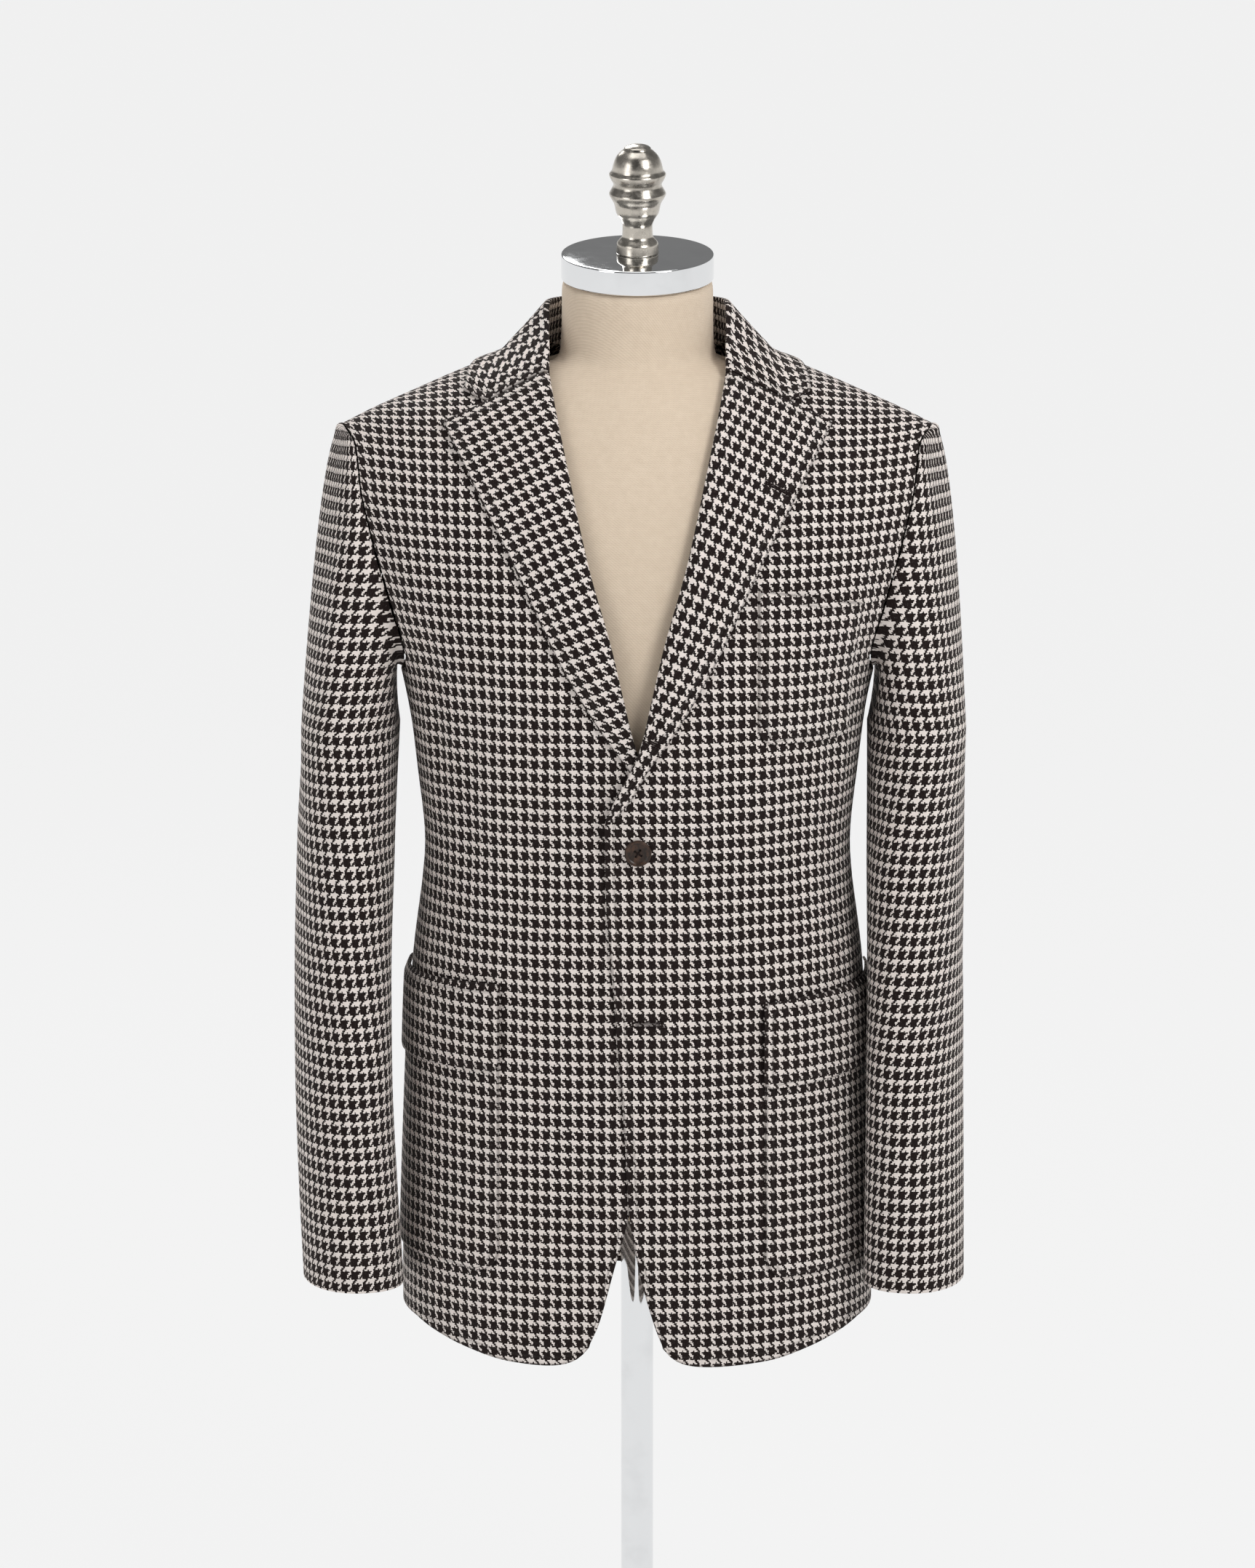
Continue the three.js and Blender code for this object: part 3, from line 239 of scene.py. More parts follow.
def level_at(x, z):
    share = np.clip((z - ARMPIT) / (ridge_z(np.abs(x)) - ARMPIT), 0, 1)
    return np.where(z <= ARMPIT, z, arc_level(share))


def turn_at(x, level):
    return np.sign(x) * np.arcsin(np.clip(np.abs(x) / half(level), 0, 1) ** (BODY_POWER / 2))


def lap_lift(side, x, z):
    near = fade_out(np.abs(x) - 30, 45)
    low = fade_out(z - 700, 60)
    bump = 5 * np.exp(-(((z - 662) / 50) ** 2)) if side > 0 else 0
    return near * (side * 1.3 * low + bump)


def on_front(side, x, z, lift):
    level = level_at(x, z)
    turn = turn_at(x, level)
    total = lift + lap_lift(side, x, z) + fold_lift(side, turn, level)
    return lifted(turn, level, total)


def over_shoulder(x, y, lift):
    ridge = ridge_y(abs(x))
    level = lerp(ARMPIT, SHOULDER, 0.6)
    for _ in range(12):
        depth = -front(level) if y < ridge else back(level)
        ring = depth * (1 - min(abs(x) / half(level), 1) ** BODY_POWER) ** (1 / BODY_POWER)
        reach = np.clip((y - ridge) / (ring - ridge), 0, 1)
        level = ARMPIT + SHOULDER_ARC * math.acos(reach) / QUARTER
    turn = turn_at(x, level)
    if y >= ridge:
        turn = math.pi - turn if x == 0 else np.sign(x) * math.pi - turn
    return lifted(turn, level, lift)


def body_cloth(turn, level):
    """Lengths in the cloth from the middle of the front and from the armpit line."""
    shares = np.linspace(0, 1, 48)
    at = body_point(turn[..., None] * shares, level[..., None])
    across = np.linalg.norm(np.diff(at[..., :2], axis=-2), axis=-1).sum(-1)
    heights = ARMPIT + np.clip(level[..., None] - ARMPIT, 0, None) * shares
    up = body_point(turn[..., None], heights)
    rise = np.linalg.norm(np.diff(up[..., 1:], axis=-2), axis=-1).sum(-1)
    return np.sign(turn) * across, np.where(level > ARMPIT, ARMPIT + rise, level)


# Building meshes


def grid_normals(points):
    return unit(np.cross(np.gradient(points, axis=1), np.gradient(points, axis=0)))


def steps(points, axis):
    """Running distance along one axis of a grid."""
    gone = np.linalg.norm(np.diff(points, axis=axis), axis=-1)
    shape = list(points.shape[:2])
    shape[axis] = 1
    return np.concatenate([np.zeros(shape), np.cumsum(gone, axis=axis)], axis=axis)


def stitched(points, borders):
    """Distance to the nearest stitched border, and the run along it."""
    along_i, along_j = steps(points, 1), steps(points, 0)
    near = np.full(points.shape[:2], 99.0)
    run = along_j.copy()
    sides = {"start": (along_i, along_j), "end": (along_i[:, -1:] - along_i, along_j),
             "low": (along_j, along_i), "high": (along_j[-1:] - along_j, along_i)}
    for border in borders:
        distance, other = sides[border]
        closer = distance < near
        near = np.where(closer, distance, near)
        run = np.where(closer, other, run)
    return near, run


RIM_INSET = 0.5
RIM = [(0.32, 0.13), (0.5, 0.5), (0.5, WALL - 0.5), (0.32, WALL - 0.13)]
# The right half is cut with the check this far on, so the lap shows as a break in it
RIGHT_SHIFT = (4.2, 1.2)
areas = {}


def shell(name, points, uv, side=1, borders=(), slot="cloth", normals=None):
    """A closed thin shell with rounded edges on a grid of outer points."""
    rows, columns = points.shape[:2]
    if normals is None:
        normals = grid_normals(points)
    near, run = stitched(points, borders)
    cells = np.linalg.norm(np.cross(np.diff(points, axis=1)[:-1], np.diff(points, axis=0)[:, :-1]), axis=-1)
    areas[name] = float(cells.sum()) / 1e6
    outer = points.copy()
    for line, inside in ((0, 1), (-1, -2)):
        outer[line] -= unit(points[line] - points[inside]) * RIM_INSET
        outer[:, line] -= unit(points[:, line] - points[:, inside]) * RIM_INSET
    top, end = rows - 1, columns - 1
    ring = (np.array([0] * end + [*range(top)] + [top] * end + [*range(top, 0, -1)]),
            np.array([*range(end)] + [end] * top + [*range(end, 0, -1)] + [0] * top))
    out = unit(points[ring] - outer[ring])
    loops = [outer[ring] + out * a - normals[ring] * b for a, b in RIM]
    inner = outer - normals * WALL
    vertices = np.concatenate([outer.reshape(-1, 3), inner.reshape(-1, 3), *loops])
    count, total = len(ring[0]), rows * columns
    index = np.arange(total).reshape(rows, columns)
    quads = np.stack([index[:-1, :-1], index[:-1, 1:], index[1:, 1:], index[1:, :-1]], -1).reshape(-1, 4)
    faces = [quads, quads[:, ::-1] + total]
    chain = [2 * total + k * count + np.arange(count) for k in range(len(RIM))]
    chain = [index[ring], *chain, index[ring] + total]
    for a, b in zip(chain[:-1], chain[1:]):
        faces.append(np.stack([a, b, np.roll(b, -1), np.roll(a, -1)], -1))
    faces = np.concatenate(faces)
    if side < 0:
        vertices = vertices * np.array([-1.0, 1, 1])
        faces = faces[:, ::-1]
    source = np.concatenate([np.arange(total)] * 2 + [index[ring]] * len(RIM))
    obj = make(name, vertices, faces)
    mesh = obj.data
    along, up = (0.0, 0.0) if side > 0 else RIGHT_SHIFT
    flat_uv = np.stack([uv[0].ravel() * side + along, uv[1].ravel() + up], -1)[source] / 1000.0
    layer = mesh.uv_layers.new(name="cloth_metres")
    corner = np.empty(len(mesh.loops), np.int32)
    mesh.loops.foreach_get("vertex_index", corner)
    layer.data.foreach_set("uv", flat_uv[corner].astype(np.float32).ravel())
    for key, values in (("edge_mm", near), ("run_mm", run)):
        made = mesh.attributes.new(key, "FLOAT", "POINT")
        spread = values.ravel()[source].astype(np.float32)
        if key == "edge_mm":
            spread[total:2 * total] = 99.0
        made.data.foreach_set("value", spread)
    declare(obj, name, slot)
    return obj


def make(name, vertices, faces):
    """A mesh object from millimetre points."""
    placed = np.asarray(vertices, float) + np.array([0, 0, RAISE])
    mesh = bpy.data.meshes.new(name)
    mesh.from_pydata((placed / 1000.0).tolist(), [], [list(map(int, face)) for face in faces])
    mesh.update()
    mesh.polygons.foreach_set("use_smooth", [True] * len(mesh.polygons))
    obj = bpy.data.objects.new(name + "_visual", mesh)
    bpy.context.scene.collection.objects.link(obj)
    return obj


def bake(obj):
    """Gives an object the mesh that its modifiers make."""
    done = bpy.data.meshes.new_from_object(obj.evaluated_get(bpy.context.evaluated_depsgraph_get()))
    obj.modifiers.clear()
    obj.data = done
    done.polygons.foreach_set("use_smooth", [True] * len(done.polygons))
    return done


def declare(obj, node, slot):
    """Materials, body and the CAD node that a piece stands for."""
    obj.data.materials.clear()
    obj.data.materials.append(MATERIALS[slot])
    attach(obj, "root")
    if node:
        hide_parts(node)


# Materials


class Tree:
    """Short names for shader nodes."""

    def __init__(self, name, world=None):
        self.material = world or bpy.data.materials.new(name)
        self.material.use_nodes = True
        self.nodes = self.material.node_tree.nodes
        self.links = self.material.node_tree.links
        self.shader = self.nodes["Background" if world else "Principled BSDF"]

    def put(self, target, value):
        if isinstance(value, bpy.types.NodeSocket):
            self.links.new(value, target)
        else:
            target.default_value = value

    def add(self, kind, output=0, inputs=(), **settings):
        node = self.nodes.new(kind)
        for key, value in settings.items():
            setattr(node, key, value)
        for key, value in dict(inputs).items():
            self.put(node.inputs[key], value)
        return node.outputs[output]

    def math(self, operation, a, b=0.0, c=0.0):
        return self.add("ShaderNodeMath", inputs={0: a, 1: b, 2: c}, operation=operation)

    def times(self, a, b):
        return self.math("MULTIPLY", a, b)

    def minus(self, a, b):
        return self.math("SUBTRACT", a, b)

    def inverse(self, value):
        return self.minus(1.0, value)

    def modulo(self, value, period):
        return self.math("FLOORED_MODULO", value, period)

    def smooth(self, value, low, high, to_low=0.0, to_high=1.0):
        inputs = {"Value": value, "From Min": low, "From Max": high, "To Min": to_low, "To Max": to_high}
        return self.add("ShaderNodeMapRange", inputs=inputs, interpolation_type="SMOOTHSTEP")

    def noise(self, vector, scale, detail=2.0, roughness=0.5):
        return self.add(
            "ShaderNodeTexNoise",
            inputs={"Vector": vector, "Scale": scale, "Detail": detail, "Roughness": roughness})

    def mix(self, factor, a, b):
        node = self.nodes.new("ShaderNodeMix")
        node.data_type = "RGBA"
        for socket, value in ((node.inputs[0], factor), (node.inputs[6], a), (node.inputs[7], b)):
            self.put(socket, value)
        return node.outputs[2]

    def bump(self, height, strength, distance, normal=None):
        inputs = {"Height": height, "Strength": strength, "Distance": distance}
        if normal is not None:
            inputs["Normal"] = normal
        return self.add("ShaderNodeBump", inputs=inputs)

    def set(self, **values):
        for key, value in values.items():
            self.put(self.shader.inputs[key.replace("_", " ")], value)


YARN_U, YARN_V = 1.05, 1.26
DARK_YARNS, STITCH_LINE, STITCH_LENGTH = 4.95, 6.6, 3.6


def houndstooth():
    t = Tree("brushed_houndstooth")
    coordinates = t.add("ShaderNodeUVMap", uv_map="cloth_metres")
    fuzz = t.noise(coordinates, 900.0, 3.0, 0.65)
    wander = t.add("ShaderNodeTexNoise", 1, inputs={"Vector": coordinates, "Scale": 620.0, "Detail": 2.0})
    slow = t.add("ShaderNodeTexNoise", 1, inputs={"Vector": coordinates, "Scale": 26.0, "Detail": 1.0})
    moved = []
    for axis, yarn in (("X", YARN_U), ("Y", YARN_V)):
        base = t.add("ShaderNodeSeparateXYZ", axis, inputs={"Vector": coordinates})
        fine = t.add("ShaderNodeSeparateXYZ", axis, inputs={"Vector": wander})
        broad = t.add("ShaderNodeSeparateXYZ", axis, inputs={"Vector": slow})
        jitter = t.math("MULTIPLY_ADD", t.minus(fine, 0.5), 0.0019,
                        t.times(t.minus(broad, 0.5), 0.0016))
        moved.append(t.math("DIVIDE", t.math("ADD", base, jitter), yarn / 1000.0))
    i, j = (t.math("FLOOR", value) for value in moved)
    eight = [t.math("LESS_THAN", t.modulo(value, 8.0), DARK_YARNS) for value in moved]
    over = t.math("LESS_THAN", t.modulo(t.math("ADD", i, j), 4.0), 2.0)
    warp = t.times(eight[0], over)
    weft = t.times(eight[1], t.inverse(over))
    dark = t.math("ADD", warp, weft)
    # brushed hairs carry a little of one colour over the other
    hair_at = t.add("ShaderNodeMapping",
                    inputs={"Vector": coordinates, "Rotation": (0, 0, 0.62), "Scale": (2600, 420, 1)})
    hair = t.noise(hair_at, 1.0, 3.0, 0.7)
    light_hair = t.smooth(hair, 0.56, 0.74)
    dark_hair = t.smooth(t.noise(hair_at, 1.7, 2.0, 0.6), 0.6, 0.8)
    shade = t.minus(dark, t.times(t.times(dark, light_hair), 0.1))
    shade = t.math("ADD", shade, t.times(t.inverse(dark), t.times(dark_hair, 0.16)))
    tone = t.noise(coordinates, 140.0, 2.0, 0.6)
    light = t.mix(tone, (0.74, 0.665, 0.62, 1), (0.9, 0.83, 0.785, 1))
    deep = t.mix(fuzz, (0.006, 0.0032, 0.003, 1), (0.021, 0.0132, 0.012, 1))
    colour = t.mix(shade, light, deep)
    edge = t.add("ShaderNodeAttribute", 2, attribute_name="edge_mm")
    run = t.add("ShaderNodeAttribute", 2, attribute_name="run_mm")
    off_line = t.math("ABSOLUTE", t.minus(edge, STITCH_LINE))
    groove = t.inverse(t.smooth(off_line, 0.0, 1.8))
    beat = t.modulo(t.math("DIVIDE", run, STITCH_LENGTH), 1.0)
    dash = t.inverse(t.smooth(t.math("ABSOLUTE", t.minus(beat, 0.5)), 0.26, 0.4))
    thread = t.times(dash, t.inverse(t.smooth(off_line, 0.2, 0.55)))
    # painted shade in the stitch groove: the colour darkens where the sewn line sinks the cloth, and the
    # same groove mask also drives the bump below
    colour = t.mix(t.times(groove, 0.2), colour, (0.03, 0.024, 0.022, 1))
    # painted shade: the colour darkens within about 2.4 mm of each stitched edge, as if the rolled edge were
    # in shadow
    edge_shade = t.inverse(t.smooth(edge, 0.3, 2.4))
    colour = t.mix(t.times(edge_shade, 0.5), colour, (0.02, 0.014, 0.013, 1))
    colour = t.mix(t.times(thread, 0.25), colour, (0.06, 0.048, 0.043, 1))
    # yarn ribs along warp or weft, then nap, then the sewn line
    ribs = []
    for value in moved:
        half_way = t.minus(t.math("FRACT", value), 0.5)
        ribs.append(t.inverse(t.times(t.times(half_way, half_way), 4.0)))
    rib = t.add("ShaderNodeMix", inputs={0: over, 2: ribs[1], 3: ribs[0]})
    surface = t.bump(rib, 0.55, 0.00035)
    surface = t.bump(hair, 0.5, 0.0003, surface)
    surface = t.bump(t.noise(coordinates, 2200.0, 4.0, 0.7), 0.45, 0.0003, surface)
    sewn = t.minus(t.times(thread, 0.25), groove)
    surface = t.bump(sewn, 1.0, 0.0009, surface)
    t.set(Base_Color=colour, Roughness=t.math("MULTIPLY_ADD", fuzz, 0.14, 0.82), Normal=surface,
          Sheen_Weight=0.09, Sheen_Roughness=0.4, Sheen_Tint=(0.9, 0.84, 0.8, 1), Specular_IOR_Level=0.12)
    return t.material


def linen():
    t = Tree("form_linen")
    at = t.add("ShaderNodeTexCoord", 3)
    threads = []
    for scale, rotation in ((1500.0, (0, 0, 0)), (1450.0, (0, 0, QUARTER))):
        stretched = t.add("ShaderNodeMapping", inputs={"Vector": at, "Rotation": rotation})
        wave = t.nodes.new("ShaderNodeTexWave")
        wave.bands_direction = "Z" if scale < 1480 else "DIAGONAL"
        t.put(wave.inputs["Vector"], stretched)
        t.put(wave.inputs["Scale"], scale / 6.0)
        t.put(wave.inputs["Distortion"], 1.4)
        t.put(wave.inputs["Detail"], 2.0)
        threads.append(wave.outputs["Fac"])
    weave = t.times(t.math("ADD", threads[0], threads[1]), 0.5)
    slub = t.noise(at, 180.0, 4.0, 0.6)
    cloud = t.noise(at, 14.0, 3.0, 0.5)
    colour = t.mix(t.math("MULTIPLY_ADD", slub, 0.5, t.times(weave, 0.5)),
                   (0.55, 0.435, 0.325, 1), (0.8, 0.68, 0.54, 1))
    colour = t.mix(t.times(cloud, 0.25), colour, (0.62, 0.5, 0.38, 1))
    surface = t.bump(weave, 0.35, 0.0003)
    surface = t.bump(slub, 0.25, 0.0004, surface)
    t.set(Base_Color=colour, Roughness=0.88, Normal=surface, Sheen_Weight=0.15, Specular_IOR_Level=0.25)
    return t.material


def horn():
    t = Tree("horn")
    at = t.add("ShaderNodeTexCoord", 3)
    grain = t.add("ShaderNodeMapping", inputs={"Vector": at, "Scale": (260, 900, 160)})
    streak = t.noise(grain, 1.0, 4.0, 0.6)
    cloud = t.noise(at, 190.0, 3.0, 0.5)
    colour = t.mix(t.smooth(streak, 0.35, 0.7), (0.011, 0.007, 0.005, 1), (0.075, 0.036, 0.02, 1))
    colour = t.mix(t.times(cloud, 0.35), colour, (0.03, 0.017, 0.011, 1))
    t.set(Base_Color=colour, Roughness=t.math("MULTIPLY_ADD", streak, 0.16, 0.3), Coat_Weight=0.08,
          Coat_Roughness=0.2, Specular_IOR_Level=0.3, Normal=t.bump(streak, 0.12, 0.0003))
    return t.material


def metal(name, colour, low, high, scale, depth):
    t = Tree(name)
    at = t.add("ShaderNodeTexCoord", 3)
    wear = t.noise(at, scale, 5.0, 0.62)
    spots = t.smooth(t.noise(at, scale * 0.35, 3.0, 0.55), 0.45, 0.75)
    dull = tuple(value * depth for value in colour[:3]) + (1,)
    t.set(Base_Color=t.mix(spots, colour, dull), Metallic=1.0,
          Roughness=t.math("MULTIPLY_ADD", t.smooth(wear, 0.3, 0.8), high - low, low),
          Normal=t.bump(wear, 0.06, 0.0002))
    return t.material


def painted_iron():
    t = Tree("painted_iron")
    at = t.add("ShaderNodeTexCoord", 3)
    grain = t.noise(at, 700.0, 4.0, 0.6)
    t.set(Base_Color=t.mix(grain, (0.018, 0.018, 0.02, 1), (0.034, 0.034, 0.036, 1)), Metallic=0.3,
          Roughness=t.math("MULTIPLY_ADD", grain, 0.15, 0.38), Normal=t.bump(grain, 0.2, 0.0003))
    return t.material


def yarn():
    t = Tree("thread")
    at = t.add("ShaderNodeTexCoord", 3)
    twist = t.noise(at, 2400.0, 3.0, 0.6)
    t.set(Base_Color=t.mix(twist, (0.006, 0.004, 0.004, 1), (0.03, 0.02, 0.018, 1)), Roughness=0.9,
          Specular_IOR_Level=0.1, Normal=t.bump(twist, 0.6, 0.0003))
    return t.material


MATERIALS = {
    "cloth": houndstooth(),
    "linen": linen(),
    "horn": horn(),
    "chrome": metal("mirror_chrome", (0.82, 0.83, 0.84, 1), 0.03, 0.09, 90.0, 0.94),
    "nickel": metal("aged_nickel", (0.56, 0.52, 0.46, 1), 0.16, 0.42, 160.0, 0.55),
    "iron": painted_iron(),
    "thread": yarn(),
}

# Coat panels


def armhole_low_level(angle, face):
    low, high = np.zeros(np.shape(angle)), np.full(np.shape(angle), ARMHOLE_WIDEST)
    for _ in range(30):
        middle = (low + high) / 2
        less = np.radians(armhole[face](middle)) < angle
        low, high = np.where(less, middle, low), np.where(less, high, middle)
    return arc_level(low)


def panel_side_turn(level, face, seam_from_side):
    share = np.sin(np.clip((level - ARMPIT) / SHOULDER_ARC, 0, 1) * QUARTER)
    hole = np.radians(armhole[face](share))
    angle = np.where(share < ARMHOLE_WIDEST, np.maximum(hole, seam_from_side), hole)
    x = half(level) * np.cos(angle) ** (2 / BODY_POWER) - ARMHOLE_GAP
    return np.where(level <= ARMPIT, QUARTER - seam_from_side, turn_at(x, level))


def hem_fade(level):
    return np.clip((HEM_EASE_TOP - level) / (HEM_EASE_TOP - HEM), 0, 1)


def row_levels(face, seam_from_side):
    junction = float(armhole_low_level(np.array(seam_from_side), face))
    lower = np.concatenate([np.linspace(HEM, 262, 13)[:-1], np.linspace(262, ARMPIT, 80)])
    return np.concatenate([lower, np.linspace(junction, SHOULDER, 46)])


def front_inner_x(side, level):
    z = level.astype(float).copy()
    x = np.zeros(level.shape)
    for _ in range(6):
        past = PANEL_PAST_ROLL * (1 - fade_out(z - ROLL_START, 25))
        x = np.where(z < ROLL_START, edge_x[side](z), roll_x(z) + past)
        arc = np.clip((level - ARMPIT) / SHOULDER_ARC, 0, 1) * QUARTER
        z = np.where(level > ARMPIT, ARMPIT + (ridge_z(np.abs(x)) - ARMPIT) * np.sin(arc), z)
    return np.minimum(x, NECK_HALF)


LABEL = {1: "left", -1: "right"}


def add_front(side):
    rows = row_levels("front", QUARTER - math.radians(float(seam_front(ARMPIT))))
    level, share = np.meshgrid(rows, np.linspace(0, 1, 46), indexing="ij")
    fade = hem_fade(level)
    corner_level = float(hemline(8)) + CORNER_RISE
    inner = front_inner_x(side, level + (corner_level - HEM) * fade)
    outer = panel_side_turn(level, "front", QUARTER - np.radians(seam_front(level)))
    turn = lerp(turn_at(inner, level), outer, share)
    x = np.abs(body_point(turn, level)[..., 0]) * np.sign(turn)
    corner = CORNER_RISE * np.exp(-np.maximum(x - inner, 0) / CORNER_EASE)
    height = level + (hemline(np.degrees(turn)) + corner - HEM) * fade
    turn = turn - np.where((share == 1) & (level <= ARMPIT), 0.15 / half(level), 0)
    lift = lap_lift(side, x, height) + fold_lift(side, turn, height)
    points = lifted(turn, height, lift)
    points[..., 1] -= 0.15
    shell(f"front_{LABEL[side]}", points, body_cloth(turn, height), side, ("start", "low"))


def add_side(side):
    rows, columns = np.linspace(0, 1, 94), np.linspace(0, 1, 20)
    up, share = np.meshgrid(rows, columns, indexing="ij")
    level = lerp(HEM, ARMPIT, up)
    turn = np.radians(lerp(seam_front(level), seam_back(level), share))
    from_side = turn - QUARTER
    top = np.where(from_side < 0, armhole_low_level(np.abs(from_side), "front"),
                   armhole_low_level(np.abs(from_side), "back")) - UNDERARM_GAP
    raised = level + (top - ARMPIT) * (1 - fade_out(level - 692, ARMPIT - 692))
    height = raised + (hemline(np.degrees(turn)) - HEM) * hem_fade(raised)
    turn = turn - 0.3 / half(level) * (share - 0.5)
    lift = fold_lift(side, turn, height)
    points = lifted(turn, height, lift)
    shell(f"side_{LABEL[side]}", points, body_cloth(turn, height), side, ("low",))


def back_neck_level(x):
    share = np.clip(x / NECK_HALF, 0, 1)
    return lerp(BACK_NECK_LEVEL, SHOULDER, 1 - np.sqrt(1 - share * share))


def add_back(side):
    rows = row_levels("back", math.radians(float(seam_back(ARMPIT))) - QUARTER)
    main = np.linspace(0, 1, 42)
    lap = side < 0
    columns = np.concatenate([main, 1 + np.linspace(0, 1, 8)[1:]]) if lap else main
    level, step = np.meshgrid(rows, columns, indexing="ij")
    share = np.clip(step, 0, 1)
    outer = panel_side_turn(level, "back", np.radians(seam_back(level)) - QUARTER)
    last = turn_at(np.full(level.shape, 2.0 if lap else 0.15), level)
    turn = math.pi - (last + (outer - last) * (1 - share))
    lift = fold_lift(side, turn, level)
    if lap:
        sunk = VENT_LIFT * fade_out(level - VENT_TOP - VENT_STEP, VENT_STEP)
        past = np.clip(step - 1, 0, 1)
        seam = math.pi - turn_at(0.15 + 0 * level, level)
        end = np.where(level <= VENT_TOP, math.pi + math.radians(VENT_LAP), seam)
        turn = np.where(past > 0, lerp(math.pi - last, end, past), turn)
        near = fade_out((math.pi - turn) * half(level), 11)
        lift = lift * (1 - near) + sunk * near
    turn = turn + np.where((share == 0) & (level <= ARMPIT), 0.3 / half(level), 0)
    x = np.abs(body_point(turn, level)[..., 0])
    neck = lerp(ARMPIT, back_neck_level(x), (level - ARMPIT) / SHOULDER_ARC)
    height = np.where(level > ARMPIT, np.minimum(level, neck), level)
    height = height + (hemline(np.degrees(np.minimum(turn, math.pi))) - HEM) * hem_fade(level)
    points = lifted(turn, height, lift)
    points[..., 1] += 0.15
    shell(f"back_{LABEL[side]}", points, body_cloth(turn, height), side, ("low",))


# Folds of a sleeve: round in degrees, down (0 to 2), lean, half length, half width, depth.
SLEEVE_FOLDS = {
    1: [(60, 0.55, 20, 60, 11, -1.5), (96, 0.75, -14, 60, 12, -1.8), (36, 0.85, 10, 80, 14, 1.0),
        (126, 1.12, -38, 46, 10, -1.8), (108, 1.3, -55, 38, 10, -1.5), (84, 1.38, -62, 34, 11, -1.2),
        (10, 1.25, 8, 110, 16, -1.2), (320, 0.9, -10, 80, 14, -1.4), (290, 1.2, 14, 80, 13, -1.4),
        (150, 1.05, 24, 50, 11, 1.3), (60, 1.62, 14, 70, 14, -1.1), (112, 1.72, -12, 50, 12, -1.0)],
    -1: [(52, 0.5, 16, 56, 12, -1.5), (100, 0.8, -18, 56, 12, -1.9), (70, 0.95, 8, 70, 14, 0.9),
         (122, 1.15, -34, 44, 10, -1.9), (102, 1.34, -58, 40, 10, -1.6), (76, 1.42, -66, 30, 10, -1.1),
         (16, 1.2, -8, 100, 16, -1.2), (316, 0.85, 12, 84, 14, -1.5), (286, 1.25, -12, 76, 13, -1.3),
         (146, 1.0, 20, 52, 11, 1.2), (56, 1.55, -10, 80, 14, -1.2), (118, 1.78, 14, 44, 12, -0.9)],
}


def stretch(down):
    return np.where(down > 1, 1 + (down - 1) * 1.9, down)


def sleeve_fold(side, round_, down):
    total = np.zeros(np.broadcast(round_, down).shape)
    for degrees, at, lean, length, width, depth in SLEEVE_FOLDS[side]:
        across = (np.mod(round_ - math.radians(degrees) + math.pi, 2 * math.pi) - math.pi) * 55.0
        along = (stretch(down) - stretch(at)) * 220.0
        angle = math.radians(lean)
        a = across * math.cos(angle) + along * math.sin(angle)
        b = -across * math.sin(angle) + along * math.cos(angle)
        total = total + depth * np.exp(-(((a + 0.002 * b * b) / width) ** 2)) * np.exp(-((b / length) ** 4))
    # a slight bell over the seam at the crown, where the sleeve is eased into the armhole
    crown = np.exp(-(((down - 0.09) / 0.07) ** 2)) * np.clip(np.cos(round_), 0, 1) * 1.6
    calm = np.clip(down / 0.12, 0, 1) * (1 - 0.6 * np.clip((down - 1.85) / 0.15, 0, 1))
    return total * calm + crown


def sleeve_ring(side, round_, z):
    along = sleeve_depth(z) / 2
    twist = np.radians(sleeve_twist(z))
    wide = sleeve_width(z) / 2
    across = np.sqrt(wide ** 2 - (along * np.sin(twist)) ** 2) / np.cos(twist)
    c, s = np.cos(round_), np.sin(round_)
    u = across * np.sign(c) * np.abs(c) ** (2 / SLEEVE_POWER)
    v = along * np.sign(s) * np.abs(s) ** (2 / SLEEVE_POWER)
    x = sleeve_outer[side](z) - wide + u * np.cos(twist) - v * np.sin(twist)
    return stack(x, sleeve_y(z) - v * np.cos(twist) - u * np.sin(twist), z)


def crown_round(side, points):
    """The angle round the sleeve's top ring that a place on the cap stands over."""
    wide, deep = float(sleeve_width(SLEEVE_TOP)) / 2, float(sleeve_depth(SLEEVE_TOP)) / 2
    x = (points[..., 0] - (float(sleeve_outer[side](SLEEVE_TOP)) - wide)) / wide
    y = -(points[..., 1] - float(sleeve_y(SLEEVE_TOP))) / deep
    power = SLEEVE_POWER / 2
    return np.arctan2(np.sign(y) * np.abs(y) ** power, np.sign(x) * np.abs(x) ** power)


def ring_length(side, around, z, lowest, eased):
    """Length in the cloth round a sleeve from its outermost line; angles count from the lowest.

    The cap is eased in, so the run from front to back counts for less near its outermost line.
    """
    shares = np.linspace(0, 1, 40)
    around = np.mod(around - math.radians(lowest), 2 * math.pi) + math.radians(lowest)
    at = sleeve_ring(side, around[..., None] * shares, z[..., None])
    run = np.diff(at[..., :2], axis=-2)
    outward_share = np.clip(np.cos(around[..., None] * shares[1:]), 0, 1) ** 2
    run[..., 1] *= 1 - eased[..., None] * outward_share
    return np.sign(around) * np.linalg.norm(run, axis=-1).sum(-1)


def armhole_point(round_):
    share = (1 + np.cos(round_)) / 2
    ahead = np.sin(round_) > 0
    angle = np.where(ahead, -np.radians(armhole["front"](share)), np.radians(armhole["back"](share)))
    return body_point(QUARTER + angle, arc_level(share))


